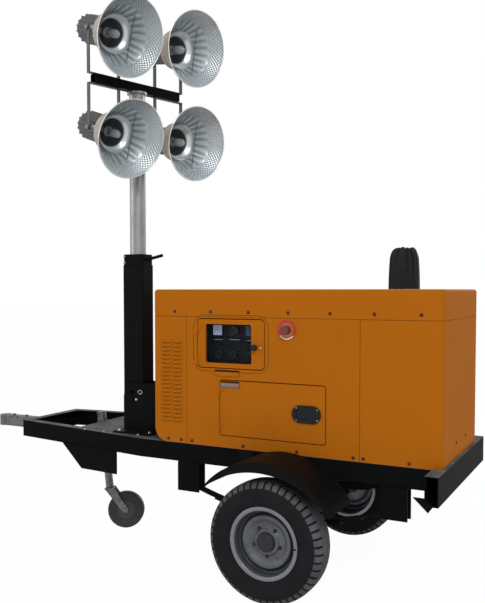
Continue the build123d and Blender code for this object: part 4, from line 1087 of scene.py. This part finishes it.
class TOWER_OT_panel(TowerOperator, bpy.types.Operator):
    """Finishes the control panel, the window, the latches and the stop button with their small parts"""

    bl_idname = "tower.panel"
    bl_label = "Control Panel"

    def execute(self, context):
        dress(["control_panel"], self.panel_finish())
        black = moulded("latch_plastic", (0.006, 0.007, 0.009), 0.45)
        dress(["door_latch_left", "door_latch_right"], black)
        dress(["window_pane"], clear_glass("window_clear", (0.02, 0.025, 0.03), 0.07))
        dress(["emergency_stop"], self.stop_finish())
        bright = zinc("small_screw_zinc", (0.5, 0.5, 0.5), (0.35, 0.35, 0.35), 0.3)
        for name, side in SIDES.items():
            low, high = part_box(f"door_latch_{name}")
            x, z = 0.5 * (low[0] + high[0]), 0.5 * (low[2] + high[2])
            face = low[1] if side < 0 else high[1]
            offsets = ((-0.052, -0.030), (-0.052, 0.030), (0.058, -0.026), (0.058, 0.026))
            spots = [(x + dx, face, z + dz) for dx, dz in offsets]
            domes(f"latch_screws_{name}", spots, (0.0, side, 0.0), 0.0034, 0.0018, f"service_{name}",
                  bright, 8)

        # A thin seam line on the panel round the window's door.
        outward = (0.0, -1.0, 0.0)
        low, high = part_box("window_door")
        seam = moulded("seam_dark", (0.10, 0.028, 0.003), 0.6)
        ring = rounded_loop((low[0] - 0.020, low[2] - 0.020), (high[0] + 0.024, high[2] + 0.022), 0.062,
                            -SIDE_Y - 0.0002, 9)
        closed = np.concatenate([ring, ring[:1]])
        rod_piece("window_seam", closed, 0.0012, (0.0, 1.0, 0.0), "trailer", seam, 8)

        # Third dial on the control panel, then the knob and the catch on the door's outer face. Dial and
        # knob are profiles of distance outward and radius.
        dark = moulded("dial_black", (0.006, 0.007, 0.008), 0.35)
        dial = [(0.0, 0.031), (0.007, 0.031), (0.010, 0.029), (0.010, 0.026), (0.006, 0.024),
                (0.0055, 0.003)]
        turned_piece("panel_dial", dial, 40, (0.443, -0.338, 1.284), outward, "trailer", dark)
        door_face = low[1]
        knob = [(-0.001, 0.016), (0.007, 0.016), (0.009, 0.0145), (0.010, 0.012), (0.010, 0.002)]
        turned_piece("window_knob", knob, 28, (0.600, door_face, 1.206), outward, "window",
                     dark)
        domes("window_catch", [(0.634, door_face, 1.206)], outward, 0.005, 0.0035, "window",
              bright, 12)
        return {"FINISHED"}

    def panel_finish(self):
        """Near-black panel with a pale square meter, a dim one, thin blank strips and worn knob rims."""
        net = Finish("panel_finish")
        front = net.axis("Y").below(-0.334, -0.330)
        meter_half = (0.027, 0.026)
        left_meter = net.patch((0.346, 1.286), meter_half)
        right_meter = net.patch((0.540, 1.286), meter_half)
        # The meter's scale is the part of a ring that lies above 1.276 m.
        swing = net.spread((0.346, 0.0, 1.268))
        scale = swing.band(0.020, 0.021, 0.022, 0.023) * net.axis("Z").between(1.276, 1.277)
        strips = highest(net.patch(centre, (half, 0.0025)) for centre, half in (
            ((0.346, 1.236), 0.024), ((0.443, 1.238), 0.030), ((0.540, 1.236), 0.022)))
        knobs = highest(net.spread((x, 0.0, 1.160)).band(0.013, 0.0145, 0.0175, 0.0185)
                        for x in (0.356, 0.440, 0.530))
        specks = net.noise(55.0, 4.0).between(0.5, 0.8)
        net.wire("Specular IOR Level", 0.08)
        base = net.tint(specks * 0.25, (0.004, 0.005, 0.007), (0.012, 0.013, 0.017))
        base = net.tint(knobs * front * 0.5, base, (0.06, 0.062, 0.066))
        base = net.tint(strips * front * 0.7, base, (0.30, 0.32, 0.35))
        base = net.tint(right_meter * front * 0.8, base, (0.08, 0.12, 0.18))
        base = net.tint(left_meter * front * (1.0 - scale * 0.8), base, (0.52, 0.62, 0.82))
        net.wire("Base Color", base)
        net.wire("Roughness", 0.42 + specks * 0.15)
        net.bump(net.cells(600.0), 0.1, 0.0004)
        return net.material

    def stop_finish(self):
        """Red ring with a pale arc on its lower edge, an orange band, and a dark red button."""
        net = Finish("stop_finish")
        reach = net.spread((0.770, 0.0, 1.298))
        arc = net.axis("Z").below(1.270, 1.272) * reach.band(0.040, 0.041, 0.047, 0.048)
        band = reach.band(0.023, 0.024, 0.035, 0.036)
        button = reach.below(0.0225, 0.0235)
        mark = net.noise(60.0, 4.0).between(0.4, 0.7)
        red = net.tint(mark * 0.3, (0.42, 0.022, 0.008), (0.30, 0.02, 0.01))
        shade = net.tint(band, red, (0.36, 0.13, 0.035))
        shade = net.tint(arc, shade, (0.62, 0.50, 0.36))
        net.wire("Base Color", net.tint(button, shade, (0.13, 0.018, 0.012)))
        net.wire("Roughness", 0.4 + mark * 0.12)
        net.bump(net.noise(300.0, 2.0), 0.1, 0.0004)
        return net.material


class TOWER_OT_exhaust(TowerOperator, bpy.types.Operator):
    """Gathers the pleated cloth bag over the exhaust on the roof"""

    bl_idname = "tower.exhaust"
    bl_label = "Exhaust"

    def execute(self, context):
        dress(["exhaust_stub"], self.paint("exhaust_paint", (0.05, 0.052, 0.053)))
        cloth = bag_cloth("bag_cloth_finish", (0.016, 0.016, 0.0175))
        dress(["exhaust_cover"], cloth)
        low, high = (np.array(corner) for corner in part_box("exhaust_stub"))
        middle = 0.5 * (low + high)
        # Section of the bag: height above the roof, half length along X, half width along Y, pleats' depth.
        section = np.array([(0.001, 0.0770, 0.0635, 0.05), (0.060, 0.0760, 0.0630, 0.10),
                            (0.120, 0.0735, 0.0610, 0.18), (0.160, 0.0710, 0.0590, 0.26),
                            (0.180, 0.0660, 0.0550, 0.32), (0.193, 0.0590, 0.0490, 0.38),
                            (0.200, 0.0480, 0.0400, 0.40), (0.202, 0.0340, 0.0280, 0.40)])
        level = np.linspace(0.0, 1.0, 64)[:, None]
        at = level * (len(section) - 1)
        rows = np.arange(len(section))
        height, long, wide, depth = (np.interp(at, rows, column) for column in section.T)
        steps = 256
        turn = np.linspace(0.0, 2 * np.pi, steps, endpoint=False)
        # Each level is a superellipse of the power 3.2, drawn in by depth * (1 - ridge). There are 12
        # ridges, abs(cos(6 * turn + sway))^0.8, and their tips rise above the top by different amounts.
        corner = 2.0 / 3.2
        across = np.sign(np.cos(turn)) * np.abs(np.cos(turn)) ** corner
        deep = np.sign(np.sin(turn)) * np.abs(np.sin(turn)) ** corner
        sway = 0.175 * np.sin(3 * turn + 4.0 * level)
        ridge = np.abs(np.cos(6 * turn + sway)) ** 0.8
        pleat = 1.0 - depth * (1.0 - ridge)
        tips = (0.010 * ridge + 0.003 * np.sin(3 * turn)) * np.clip(level - 0.6, 0.0, 0.25) / 0.25
        outside = np.stack([middle[0] + long * across * pleat, middle[1] + wide * deep * pleat,
                            ROOF_Z + height + tips], -1)
        # The mouth of the gathered top turns in and closes 12 mm lower down.
        inward = np.linspace(0.0, 1.0, 9)[1:]
        mouth = np.array([middle[0], middle[1], 0.0])
        last = outside[-1]
        flat = np.array([1.0, 1.0, 0.0])
        inside = last[None] + (mouth - last)[None] * (flat * (0.93 * inward)[:, None, None])
        inside[..., 2] = last[None, :, 2] - 0.012 * np.sin(0.5 * np.pi * inward)[:, None]
        points = np.concatenate([outside, inside])
        faces = grid_faces(len(points), steps, closed=True)
        reach, around = np.meshgrid(np.linspace(0.0, 0.25, len(points)), np.arange(steps) / steps,
                                    indexing="ij")
        bag = new_piece("exhaust_bag", points, faces, "trailer", cloth,
                        caps=[row(len(points) - 1, steps)], wrap=np.stack([around, reach], -1))
        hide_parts("exhaust_cover", "exhaust_stub")
        return {"FINISHED"}


class TOWER_PT_sidebar(bpy.types.Panel):
    """Lists the light tower's settings and steps"""

    bl_idname = "TOWER_PT_sidebar"
    bl_label = "Light Tower"
    bl_space_type = "VIEW_3D"
    bl_region_type = "UI"
    bl_category = "Light Tower"

    def draw(self, context):
        for group in (context.scene.tower_colours, context.scene.tower_sizes):
            for name in group.__annotations__:
                self.layout.prop(group, name)
        for step in STEPS:
            self.layout.operator(step.bl_idname)


STEPS = (TOWER_OT_stage, TOWER_OT_canopy, TOWER_OT_chassis, TOWER_OT_wheels, TOWER_OT_lamps,
         TOWER_OT_mast, TOWER_OT_jockey, TOWER_OT_panel, TOWER_OT_exhaust)
CLASSES = (TowerColours, TowerSizes) + STEPS + (TOWER_PT_sidebar,)


def register():
    for kind in CLASSES:
        bpy.utils.register_class(kind)
    bpy.types.Scene.tower_colours = bpy.props.PointerProperty(type=TowerColours)
    bpy.types.Scene.tower_sizes = bpy.props.PointerProperty(type=TowerSizes)


def unregister():
    del bpy.types.Scene.tower_sizes
    del bpy.types.Scene.tower_colours
    for kind in reversed(CLASSES):
        bpy.utils.unregister_class(kind)


def main():
    register()
    for step in STEPS:
        group, name = step.bl_idname.split(".")
        getattr(getattr(bpy.ops, group), name)()


if __name__ == "__main__":
    main()
